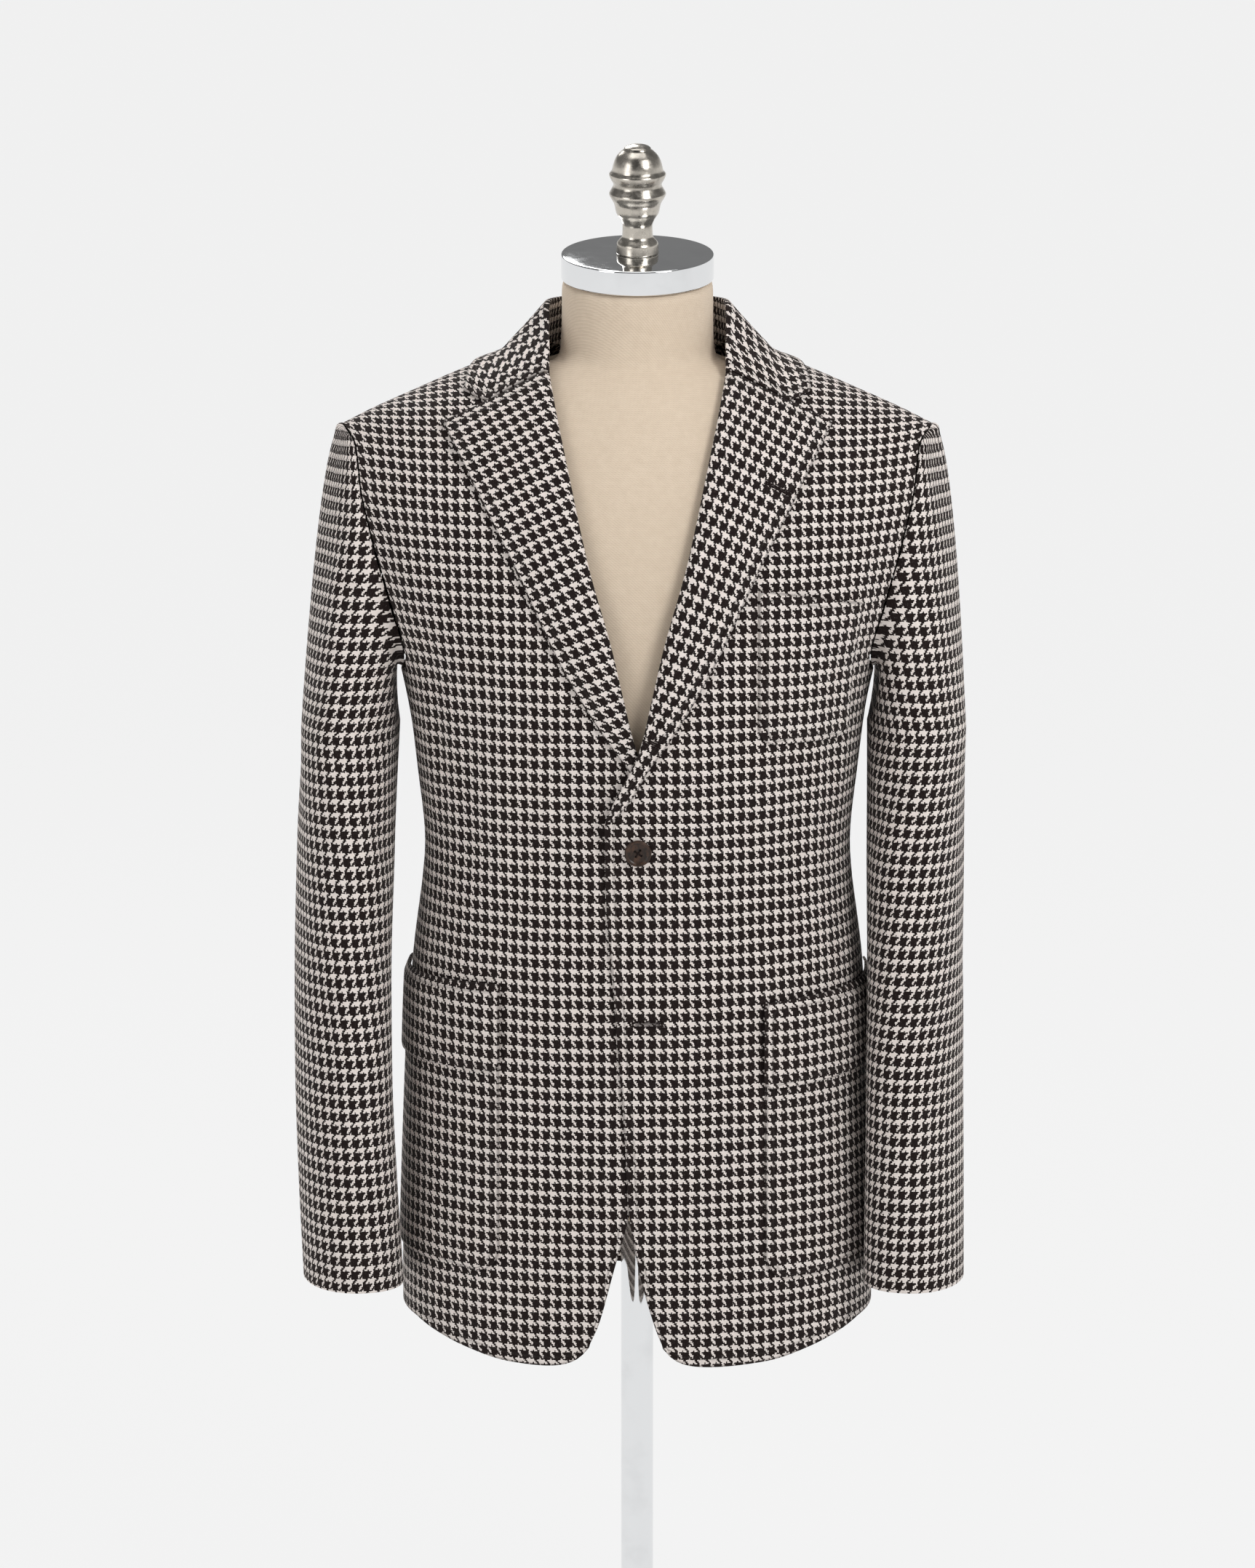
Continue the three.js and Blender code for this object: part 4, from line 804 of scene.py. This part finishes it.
def sleeve_point(side, round_, down):
    round_, down = np.broadcast_arrays(np.asarray(round_, float), np.asarray(down, float))
    tube = sleeve_ring(side, round_, lerp(SLEEVE_TOP, SLEEVE_LOW, np.clip(down - 1, 0, None)))
    start, end = armhole_point(round_), sleeve_ring(side, round_, np.full(round_.shape, SLEEVE_TOP))
    top = (1 + np.cos(round_)) / 2
    bend = start + stack(lerp(11, 16, top), -7 * np.sin(round_), -lerp(-8, 2, top))
    cap = np.clip(down, 0, 1)[..., None]
    curve = start * (1 - cap) ** 2 + bend * 2 * cap * (1 - cap) + end * cap ** 2
    return np.where(down[..., None] > 1, tube, curve)


def add_sleeve(side):
    downs = np.concatenate([np.linspace(0, 1, 36), 1 + np.linspace(0, 1, 74)[1:]])[::-1]

    def build(name, start, end, columns):
        rounds = np.radians(np.linspace(end, start, columns))
        rounds[0] -= 0.006
        rounds[-1] += 0.006
        down, round_ = np.meshgrid(downs, rounds, indexing="ij")

        def at(a, b):
            return sleeve_point(side, a, np.maximum(b, 0))

        flat = at(round_, down)
        normal = outward(at, round_, down, 0.01, 0.01)
        points = flat + normal * sleeve_fold(side, round_, down)[..., None]
        ring_z = np.minimum(flat[..., 2], SLEEVE_TOP)
        around = np.where(down > 1, round_, crown_round(side, flat))
        eased = CAP_EASE * np.clip(1 - down, 0, 1) ** 0.7
        across = ring_length(side, around, ring_z, -185 if name == "top_sleeve" else 20, eased)
        shell(f"{name}_{LABEL[side]}", points, (across, flat[..., 2]), side, normals=normal)

    build("top_sleeve", SLEEVE_BACK_SEAM - 360, SLEEVE_FRONT_SEAM, 64)
    build("under_sleeve", SLEEVE_FRONT_SEAM, SLEEVE_BACK_SEAM, 26)


def add_lapel(side):
    ups = np.linspace(0, 1, 84) ** 1.15
    curl_past = through([(k, *row) for k, row in enumerate(CURL)], 1)
    curl_lift = through([(k, *row) for k, row in enumerate(CURL)], 2)
    curl_at = np.linspace(0, 3, 13)
    shares = np.linspace(0, 1, 25)[1:]
    grid = []
    for up in ups:
        roll_z, tip_z = lerp(ROLL_START + 1, GORGE_Z, up), lerp(ROLL_START + 1, TIP_Z, up)
        start, to = float(roll_x(roll_z)), float(lapel_edge_x(tip_z))
        squeeze = min(1, (to - start) / 12)
        x = np.concatenate([start + curl_past(curl_at) * squeeze,
                            lerp(start + CURL[-1][0] * squeeze, to, shares)])
        share = np.concatenate([np.zeros(13), shares])
        full = np.concatenate([curl_lift(curl_at), LAPEL_EDGE_LIFT + LAPEL_ROLL_LIFT * (1 - shares) ** 2])
        full[12:15] = full[12:15] + np.array([0.0, 0.1, 0.1])
        z = lerp(roll_z, tip_z, (x - start) / max(to - start, 1))
        lift = lerp(full, np.minimum(full, LAPEL_LOW_LIFT), fade_out(roll_z - 700, 60))
        # the lapel's own soft roll lifts it a little off the chest, most near the middle
        belly = 2.2 * math.sin(math.pi * up) * np.sin(math.pi * np.clip(share, 0, 1)) ** 2
        belly += 1.1 * math.exp(-(((up - 0.93) / 0.05) ** 2)) * share ** 3
        grid.append(on_front(side, x, np.maximum(z, ROLL_START), lift + belly))
    points = np.array(grid)
    across, along = steps(points, 1), steps(points, 0)
    shell(f"lapel_{LABEL[side]}", points, (across - across[:, -1:], along[:, -1:] + 0 * along),
          side, ("end", "high"))
    return points


def refine(points, axis, count):
    """Catmull-Rom refinement of a grid along one axis."""
    points = np.moveaxis(points, axis, 0)
    last = len(points) - 1
    at = np.linspace(0, last, count)
    i = np.clip(np.floor(at).astype(int), 0, last - 1)
    t = (at - i)[:, None, None]
    first = 2 * points[0] - points[1]
    end = 2 * points[-1] - points[-2]
    wide = np.concatenate([first[None], points, end[None]])
    p0, p1, p2, p3 = wide[i], wide[i + 1], wide[i + 2], wide[i + 3]
    made = 0.5 * (2 * p1 + (p2 - p0) * t + (2 * p0 - 5 * p1 + 4 * p2 - p3) * t ** 2
                  + (3 * p1 - p0 - 3 * p2 + p3) * t ** 3)
    return np.moveaxis(made, 0, axis)


collar_axes = [through(COLLAR, column) for column in range(1, 9)]


def collar_profile(turn):
    values = [float(axis(turn)) for axis in collar_axes]
    seam, fold = np.array(values[0:3]), np.array(values[3:6])
    edge = np.array([*values[6:8], 0.0])
    gorge = 1 - float(fade_out(turn - 0.85, 0.15))
    notch_x = lerp(float(roll_x(GORGE_Z)), float(lapel_edge_x(TIP_Z)), NOTCH_SHARE)
    notch = on_front(1, notch_x, lerp(GORGE_Z, TIP_Z, NOTCH_SHARE), 0)
    knee = lerp(lerp(fold, edge, 0.68), notch, gorge)
    out = unit(np.array([knee[0] - fold[0], knee[1] - fold[1], 0.0]))
    points = [seam, lerp(seam, fold, 0.55), fold]
    points += [fold + out * past + np.array([0, 0, up]) for past, up in COLLAR_FOLD]
    start = fold + out * 5.2
    start[2] = fold[2] + 0.2
    knee_seat = over_shoulder(knee[0], knee[1], LAPEL_EDGE_LIFT + 0.4)
    edge_seat = over_shoulder(edge[0], edge[1], LAPEL_EDGE_LIFT)
    for k in range(FALL_POINTS + 1):
        share = k / FALL_POINTS
        past = max(share - FALL_KNEE, 0) / (1 - FALL_KNEE)
        plan = lerp(knee_seat, edge_seat, past) if past > 0 else lerp(start, knee_seat, share / FALL_KNEE)
        seat = over_shoulder(plan[0], plan[1], LAPEL_EDGE_LIFT + 1.6 * (1 - share))
        points.append(plan if plan[2] > seat[2] else seat)
    return points


def collar_end():
    start, to = float(roll_x(GORGE_Z)), float(lapel_edge_x(TIP_Z))

    def along(x, lift):
        z = lerp(GORGE_Z, TIP_Z, (x - start) / (to - start)) + GORGE_GAP
        return on_front(1, x + GORGE_GAP * 0.5, z, lift)

    points = [along(start + CURL[0][0], CURL[0][1] - drop) for drop in (0.8, 0.4)]
    points += [along(start + past, lift) for past, lift in CURL]
    first = start + CURL[-1][0]
    edge_seat = over_shoulder(float(collar_axes[6](1)), float(collar_axes[7](1)), LAPEL_EDGE_LIFT)
    notch = lerp(start, to, NOTCH_SHARE)
    for k in range(1, FALL_POINTS + 1):
        share = k / FALL_POINTS / FALL_KNEE
        lift = LAPEL_EDGE_LIFT + LAPEL_ROLL_LIFT * (1 - NOTCH_SHARE * min(share, 1)) ** 2
        corner = along(lerp(first, notch, min(share, 1)), lift)
        points.append(corner if share <= 1 else lerp(corner, edge_seat, (share - 1) / (1 / FALL_KNEE - 1)))
    return points


def add_collar():
    profiles = []
    for j in range(2 * COLLAR_STATIONS + 1):
        turn = abs(1 - j / COLLAR_STATIONS)
        made = np.array(collar_end() if turn == 1 else collar_profile(turn))
        profiles.append(made * np.array([1.0 if j <= COLLAR_STATIONS else -1.0, 1, 1]))
    points = refine(refine(np.array(profiles), 1, 46), 0, 161)
    across, along = steps(points, 1), steps(points, 0)
    middle = along[80:81, -1:]
    uv = (along[:, -1:] - middle + 0 * along, across - across[:, -1:])
    shell("collar", points, uv, 1, ("low", "high", "end"))


def walk_round(x, z, distances):
    level = float(level_at(np.array(float(x)), np.array(float(z))))
    turns = np.linspace(0, 2.4, 500)
    at = body_point(turns, level)
    gone = np.concatenate([[0], np.cumsum(np.linalg.norm(np.diff(at, axis=0), axis=-1))])
    start = np.interp(float(turn_at(x, level)), turns, gone)
    return np.interp(start + distances, gone, turns), level


def add_patch(name, side, shape, width, corner, lift_at, columns, rows, borders):
    front_x, top_front, top_back, low, low_back = shape
    tall = top_front - low
    share = np.linspace(0, 1, columns)
    edge = 1 - np.cos(np.linspace(0, QUARTER, 10))
    heights = np.concatenate([corner * edge, np.linspace(corner, tall, rows)[1:]])
    grid, places = [], []
    for height in heights:
        inset = corner - math.sqrt(max(corner ** 2 - (corner - height) ** 2, 0)) if height < corner else 0
        distance = lerp(inset, width - inset, share)
        row, place = [], []
        for d in distance:
            z = lerp(lerp(low, low_back, d / width), lerp(top_front, top_back, d / width), height / tall)
            turn, level = walk_round(front_x, z, d)
            from_side = min(d, width - d)
            lift = lift_at(from_side, height, tall - height) + float(fold_lift(side, turn, level))
            row.append(lifted(turn, level, lift))
            place.append((turn, level))
        grid.append(row)
        places.append(place)
    places = np.array(places)
    uv = body_cloth(places[..., 0], places[..., 1])
    points = np.array(grid).reshape(len(heights), columns, 3)
    shell(name, points, uv, side, borders)
    return points


def hugging(lift, drop, top_drop=None, reach=2.5):
    """A patch's lift that sinks towards the panel at its sewn edges."""
    def at(from_side, from_low, from_top):
        sunk = drop * math.exp(-((min(from_side, from_low) / reach) ** 2))
        if top_drop is not None:
            sunk = max(sunk, top_drop * math.exp(-((from_top / 5.0) ** 2)))
        return lift - sunk
    return at


def add_pockets(side):
    front_x, top_front, top_back, low, low_back = POCKETS[side]
    pocket = (front_x, top_front - POCKET_UNDER_FLAP, top_back - POCKET_UNDER_FLAP, low, low_back)
    add_patch(f"patch_pocket_{LABEL[side]}", side, pocket, POCKET_WIDTH, POCKET_CORNER,
              hugging(PATCH_LIFT, 0.9), 34, 30, ("start", "end", "low"))
    flap = (front_x - FLAP_OVERHANG, top_front + FLAP_ABOVE, top_back + FLAP_ABOVE,
            top_front + FLAP_ABOVE - FLAP_HEIGHT, top_back + FLAP_ABOVE - FLAP_HEIGHT)
    add_patch(f"pocket_flap_{LABEL[side]}", side, flap, POCKET_WIDTH + 2 * FLAP_OVERHANG, FLAP_CORNER,
              hugging(2 * PATCH_LIFT, 0.5, 3.2, 1.6), 34, 14, ("start", "end", "low", "high"))


def loft(rings, ends=None):
    """Closed surface from rings, each end closed by a fan to its middle or to a given point."""
    rows, sides = rings.shape[:2]
    ends = (rings[:1].mean(1), rings[-1:].mean(1)) if ends is None else ends
    vertices = np.concatenate([rings.reshape(-1, 3), *ends])
    index = np.arange(rows * sides).reshape(rows, sides)
    after = np.roll(index, -1, axis=1)
    quads = np.stack([index[:-1], after[:-1], after[1:], index[1:]], -1).reshape(-1, 4)
    faces = [tuple(quad) for quad in quads]
    faces += [(rows * sides, n, i) for i, n in zip(index[0], after[0])]
    faces += [(rows * sides + 1, i, n) for i, n in zip(index[-1], after[-1])]
    return vertices, faces


def lathe(name, profile, sides, place, slot=None):
    """A turned piece about +Z from (radius, height) pairs that start and end on the axis."""
    a = 2 * math.pi * np.arange(sides) / sides
    radius, height = np.array(profile, float).T[..., None]
    rings = stack(radius * np.cos(a), radius * np.sin(a), height)
    vertices, faces = loft(rings[1:-1], (rings[0, :1], rings[-1, :1]))
    obj = make(name, [tuple(place @ Vector(v)) for v in vertices], faces)
    if slot:
        declare(obj, name, slot)
    return obj


def rounded(points, radius, count=4):
    """A profile with its inner corners turned into small arcs."""
    made = [points[0]]
    for before, here, after in zip(points[:-2], points[1:-1], points[2:]):
        p, a, b = np.array(here, float), np.array(before, float), np.array(after, float)
        ra = min(radius, np.linalg.norm(a - p) / 2.2)
        rb = min(radius, np.linalg.norm(b - p) / 2.2)
        start, end = p + (a - p) / np.linalg.norm(a - p) * ra, p + (b - p) / np.linalg.norm(b - p) * rb
        for t in np.linspace(0, 1, count):
            made.append(tuple(start * (1 - t) ** 2 + p * 2 * t * (1 - t) + end * t ** 2))
    return made + [points[-1]]


def tube(path, radius, sides=8, closed=False):
    """A round thread along a path of points."""
    path = np.asarray(path, float)
    count = len(path)
    ahead = np.roll(path, -1, axis=0) - np.roll(path, 1, axis=0)
    if not closed:
        ahead[0], ahead[-1] = path[1] - path[0], path[-1] - path[-2]
    ahead = unit(ahead)
    first = unit(np.cross(ahead, np.array([0.31, 0.2, 0.93])))
    second = np.cross(ahead, first)
    radii = np.broadcast_to(radius, (count,))
    rings = [path + (first * math.cos(a) + second * math.sin(a)) * radii[:, None]
             for a in 2 * math.pi * np.arange(sides) / sides]
    index = np.arange(count * sides).reshape(count, sides)
    here, there = (index, np.roll(index, -1, axis=0)) if closed else (index[:-1], index[1:])
    quads = np.stack([here, there, np.roll(there, -1, axis=1), np.roll(here, -1, axis=1)], -1)
    faces = [tuple(quad) for quad in quads.reshape(-1, 4)]
    if not closed:
        faces += [tuple(index[0]), tuple(index[-1, ::-1])]
    return np.stack(rings, 1).reshape(-1, 3), faces


def joined(name, parts):
    """One piece of thread from several (vertices, faces) pairs."""
    vertices, faces, offset = [], [], 0
    for some, shapes in parts:
        vertices.append(some)
        faces += [tuple(v + offset for v in face) for face in shapes]
        offset += len(some)
    declare(make(name, np.concatenate(vertices), faces), None, "thread")


BUTTON_OUTLINE = [(0, 0), (0.8, 0), (1, 0.4), (1, 0.75), (0.93, 1), (0.82, 0.97), (0.7, 0.72), (0, 0.66)]


def add_button(node, point, normal, radius, thick, turned):
    """A four-hole button, its holes cut through, sewn with crossed thread."""
    normal = Vector(normal).normalized()
    spin = Vector((0, 0, 1)).rotation_difference(normal)
    place = Matrix.Translation(Vector(point)) @ spin.to_matrix().to_4x4() @ Matrix.Rotation(turned, 4, "Z")
    profile = rounded([(r * radius, z * thick) for r, z in BUTTON_OUTLINE], 0.5)
    disc = lathe(node, profile, 56, place)
    offset = radius * 0.2
    bm = bmesh.new()
    for sx, sy in ((1, 1), (1, -1), (-1, 1), (-1, -1)):
        spot = place @ Matrix.Translation((sx * offset, sy * offset, thick * 0.5))
        moved = Matrix.Translation((0, 0, RAISE / 1000)) @ Matrix.Scale(0.001, 4) @ spot
        bmesh.ops.create_cone(bm, segments=18, radius1=radius * 0.095, radius2=radius * 0.095,
                              depth=thick * 4, cap_ends=True, matrix=moved)
    cutter_mesh = bpy.data.meshes.new(node + "_holes")
    bm.to_mesh(cutter_mesh)
    bm.free()
    cutter = bpy.data.objects.new(node + "_holes", cutter_mesh)
    bpy.context.scene.collection.objects.link(cutter)
    cut = disc.modifiers.new("holes", "BOOLEAN")
    cut.operation, cut.object, cut.solver = "DIFFERENCE", cutter, "EXACT"
    bake(disc).set_sharp_from_angle(angle=math.radians(38))
    bpy.data.objects.remove(cutter)
    declare(disc, node, "horn")
    strands = []
    for sx in (1, -1):
        for shift in (-0.22, 0.22):
            side_step = shift * radius * 0.14
            a = np.array([sx * offset + side_step, offset + side_step * 0.4])
            b = np.array([-sx * offset + side_step, -offset + side_step * 0.4])
            path = []
            for t in np.linspace(0, 1, 11):
                dip = -0.9 if t in (0.0, 1.0) else 0.0
                z = thick * (0.7 + (0.3 if sx > 0 else 0.18) * math.sin(math.pi * t)) + dip
                path.append(tuple(place @ Vector((*lerp(a, b, t), z))))
            strands.append(tube(path, radius * 0.032, 6))
    joined(node + "_thread", strands)


def add_buttonhole(name, middle, along, normal, length, open_width=0.9, keyhole=False):
    """A worked buttonhole: a close row of purl stitches round a narrow slit."""
    middle, along, normal = (np.array(v, float) for v in (middle, along, normal))
    along, normal = unit(along), unit(normal)
    across = np.cross(normal, along)
    path = []
    for k in range(72):
        a = 2 * math.pi * k / 72
        u = math.copysign(abs(math.cos(a)) ** 0.55, math.cos(a)) * length / 2
        eye = 1 + (1.1 * math.exp(-(((u + length / 2) / 2.2) ** 2)) if keyhole else 0)
        v = math.sin(a) * open_width * eye
        path.append(middle + along * u + across * v + normal * (0.1 + 0.12 * math.sin(11 * a)))
    parts = [tube(path, 0.5 + 0.1 * np.sin(np.arange(72) * 2.1), 7, True)]
    stitches = 44
    for k in range(stitches):
        a = 2 * math.pi * (k + 0.5) / stitches
        u = math.copysign(abs(math.cos(a)) ** 0.55, math.cos(a)) * length / 2
        v = math.sin(a) * open_width
        out = unit(along * math.copysign(abs(math.cos(a)) ** 4, math.cos(a)) + across * np.sign(math.sin(a)))
        start = middle + along * u + across * v + normal * 0.3
        stitch = [start, start + out * 0.8 + normal * 0.18, start + out * 1.5 - normal * 0.5]
        parts.append(tube(stitch, 0.24, 5))
    slit = [middle + along * t * length * 0.42 - normal * 0.1 for t in np.linspace(-1, 1, 6)]
    parts.append(tube(slit, 0.34, 5))
    joined(name, parts)


# Form and stand

FORM_BOTTOM = 325.0
FORM_GAP = through([(325, 12), (480, 8), (600, 7), (735, 9), (850, 5), (950, 3.6), (1035, 1.2)], 1)
NECK = [(880, 0, 66), (930, 1, 66), (950, 2, 62), (968, 4, 58.5), (990, 3.5, 57.2), (1027, 0.5, 57)]
NECK_TILT = math.radians(9.3)
CAP_Z, CAP_Y, CAP_RADIUS, CAP_HEIGHT = 1027.3, 0.5, 57.5, 19.0
FINIAL = [
    (0, 15.9), (7, 15.6), (13.5, 11.5), (21, 11.2), (27, 13.5), (31, 16), (38, 17.6), (43, 20.4),
    (45.5, 21.4), (48, 20.2), (52.6, 18.1), (57, 20.2), (60.5, 21.3), (63, 19.4), (68, 18.2), (74, 15.6),
    (79.5, 10.2), (83, 0),
]


def form_point(turn, level):
    past = np.abs(body_point(turn, level)[..., 0]) - NECK[0][2]
    beside = 14 * fade_out(past, 40)
    relief = np.where(level > ARMPIT, beside * fade_out(SHOULDER - level, 90), 0)
    point = lifted(turn, level, -FORM_GAP(level) - 2.4 - relief)
    limit = lerp(168, 182, np.clip((level - ARMPIT + 60) / 160, 0, 1))
    excess = np.maximum(np.abs(point[..., 0]) / limit, 0.001)
    point[..., 0] /= (1 + excess ** 14) ** (1 / 14)
    return point


def add_form():
    turns = 2 * math.pi * (np.arange(96) + 0.5) / 96 - math.pi
    levels = np.linspace(FORM_BOTTOM, lerp(ARMPIT, SHOULDER, 0.96), 60)
    level, turn = np.meshgrid(levels, turns, indexing="ij")
    rings = form_point(turn, level)
    rings[0, :, 2] = FORM_BOTTOM
    torso = make("form_torso", *loft(rings))
    tilt = math.tan(NECK_TILT)
    keys = np.linspace(0, len(NECK) - 1, 30)
    neck = []
    for key in keys:
        z, y, radius = (np.interp(key, range(len(NECK)), [row[k] for row in NECK]) for k in range(3))
        a = 2 * math.pi * np.arange(96) / 96
        dx, dy = radius * np.sin(a), -radius * np.cos(a)
        neck.append(stack(dx, y + dy, z + dy * tilt * key / (len(NECK) - 1)))
    column = make("form_neck", *loft(np.array(neck)))
    both = bmesh.new()
    both.from_mesh(torso.data)
    both.from_mesh(column.data)
    both.to_mesh(torso.data)
    both.free()
    bpy.data.objects.remove(column)
    skin = torso.modifiers.new("skin", "REMESH")
    skin.mode, skin.voxel_size = "VOXEL", 0.0036
    ease = torso.modifiers.new("ease", "SMOOTH")
    ease.factor, ease.iterations = 0.5, 7
    bake(torso)
    declare(torso, "form_torso", "linen")


def add_stand():
    place = Matrix.Translation((0, CAP_Y, CAP_Z)) @ Matrix.Rotation(NECK_TILT, 4, "X")
    cap = [(0, 0), (CAP_RADIUS, 0), (CAP_RADIUS, CAP_HEIGHT), (0, CAP_HEIGHT)]
    lathe("neck_cap", rounded(cap, 1.6, 6), 128, place, "chrome")
    radius_at = through(FINIAL[:-1], 1)
    profile = [(0, 0)] + [(float(radius_at(up)), up) for up in np.linspace(0, 79.5, 90)]
    profile += [(10.2 * math.cos(a), 79.5 + 3.5 * math.sin(a)) for a in np.linspace(0.15, QUARTER, 8)]
    finial_place = place @ Matrix.Translation((0, 0, CAP_HEIGHT + 0.3))
    lathe("finial", profile, 72, finial_place, "nickel")
    down = Matrix.Translation((0, 0, -RAISE))
    pole = [(0, 34.3), (12.5, 34.3), (12.5, FORM_BOTTOM + RAISE - 0.3), (0, FORM_BOTTOM + RAISE - 0.3)]
    lathe("pole", rounded(pole, 0.6), 64, down, "chrome")
    base = [(0, 0), (160, 0), (160, 8), (154, 13), (54, 20), (24, 23), (20, 34), (0, 34)]
    lathe("base", rounded(base, 3.0, 6), 128, down, "iron")


lapels = {}
for hand in (1, -1):
    add_front(hand)
    add_side(hand)
    add_back(hand)
    add_sleeve(hand)
    lapels[hand] = add_lapel(hand)
    add_pockets(hand)
add_collar()
add_patch("breast_pocket", 1, BREAST, BREAST_WIDTH, BREAST_CORNER, hugging(PATCH_LIFT, 0.9), 22, 24,
          ("start", "end", "low", "high"))

CUFF_BUTTON_Z, CUFF_BUTTON_STEP, CUFF_BUTTON_ROUND = 305, 19, 236
button_x, button_z = np.array(0.3), np.array(613.0)
add_button("front_button", on_front(1, button_x, button_z, 1.0),
           body_normal(turn_at(button_x, button_z), button_z), 10, 3.6, 0.2)
for hand in (1, -1):
    for k in range(2):
        down_at = 1 + (SLEEVE_TOP - CUFF_BUTTON_Z - CUFF_BUTTON_STEP * k) / (SLEEVE_TOP - SLEEVE_LOW)
        around = math.radians(CUFF_BUTTON_ROUND)
        spot = sleeve_point(hand, around, down_at)
        out = outward(lambda a, b: sleeve_point(hand, a, b), around, down_at, 0.01, 0.01)
        rise = 0.6 + float(sleeve_fold(hand, np.array(around), np.array(down_at)))
        flip = np.array([hand, 1, 1])
        name = f"cuff_button_{LABEL[hand]}_{k + 1}"
        add_button(name, (spot + out * rise) * flip, out * flip, 7.5, 3, 0.3 * k)

# Buttonholes: the lapel's, the rolled one at the break, and the free one below the button
lapel = lapels[1]
for name, j, i, past, reach, length in (("lapel", 70, 30, 0.5, 4, 21), ("rolled", 20, 16, 0.0, 3, 12)):
    normal = grid_normals(lapel)[j, i]
    add_buttonhole(name + "_buttonhole", lerp(lapel[j, i], lapel[j, i + 1], past) + normal * 0.1,
                   lapel[j, i + reach] - lapel[j, i - reach], normal, length)
low_x, low_z = np.array(7.5), np.array(482.0)
add_buttonhole("low_buttonhole", on_front(1, low_x, low_z, 0.5), (1, 0, 0),
               body_normal(turn_at(low_x, low_z), low_z), 22, 1.5, True)
add_form()
add_stand()

# Each sheet of cloth's flat-pattern coordinates are read back from its UV layer; nothing more is done with
# them
for name, area in sorted(areas.items()):
    obj = bpy.data.objects[name + "_visual"]
    layer = obj.data.uv_layers["cloth_metres"].data
    values = np.empty(len(layer) * 2, np.float32)
    layer.foreach_get("uv", values)

# Floor, backdrop, light and camera
scene = bpy.context.scene
floor = bmesh.new()
bmesh.ops.create_circle(floor, cap_ends=True, radius=60.0, segments=96)
bmesh.ops.translate(floor, verts=floor.verts, vec=(0, 0, -0.0005))
floor_mesh = bpy.data.meshes.new("floor")
floor.to_mesh(floor_mesh)
floor.free()
ground = bpy.data.objects.new("floor", floor_mesh)
scene.collection.objects.link(ground)
paper = Tree("pale_paper")
paper.set(Base_Color=(0.04, 0.04, 0.04, 1), Roughness=0.9, Specular_IOR_Level=0.0,
          Emission_Color=(1, 1, 1, 1), Emission_Strength=0.865)
floor_mesh.materials.append(paper.material)

# Pale at the horizon, dimmer overhead, so the soft lights give the cloth its shading
scene.world = bpy.data.worlds.new("studio")
studio = Tree("studio", scene.world)
direction = studio.add("ShaderNodeTexCoord")
ahead, up = (studio.add("ShaderNodeSeparateXYZ", axis, inputs={"Vector": direction}) for axis in "YZ")
studio.set(Color=(1, 1, 1, 1), Strength=studio.times(
    studio.smooth(up, 0.02, 0.3, 0.9, 0.2), studio.smooth(ahead, -0.95, -0.35, 0.35, 1.0)))


def area_light(name, place, target, size, power):
    light = bpy.data.lights.new(name, "AREA")
    light.shape, light.size, light.size_y, light.energy = "RECTANGLE", size[0], size[1], power
    obj = bpy.data.objects.new(name, light)
    obj.location = place
    obj.rotation_euler = (Vector(target) - Vector(place)).to_track_quat("-Z", "Y").to_euler()
    scene.collection.objects.link(obj)


area_light("key", (1.9, -2.2, 2.6), (0, 0, 0.95), (1.1, 1.5), 56)
area_light("fill", (-2.4, -2.3, 1.7), (0, 0, 0.7), (1.4, 2.0), 22)
area_light("top", (0, -0.3, 3.2), (0, 0, 0.8), (2.2, 1.2), 18)
area_light("back", (-0.9, 2.5, 3.1), (0, 0, 0.85), (1.8, 1.2), 46)

FOCAL_PIXELS, PICTURE_HEIGHT, CAMERA_PITCH = 8108.0, 2156.0, 80
camera = bpy.data.cameras.new("camera")
camera.sensor_width = 36.0
camera.lens = camera.sensor_width * FOCAL_PIXELS / PICTURE_HEIGHT
camera.clip_end = 50.0
seen = bpy.data.objects.new("camera", camera)
seen.location = (-0.0075, -4.4316, 1.4222 + RAISE / 1000)
seen.rotation_euler = (math.radians(CAMERA_PITCH), 0, 0)
scene.collection.objects.link(seen)
scene.camera = seen
scene.view_settings.view_transform = "Standard"
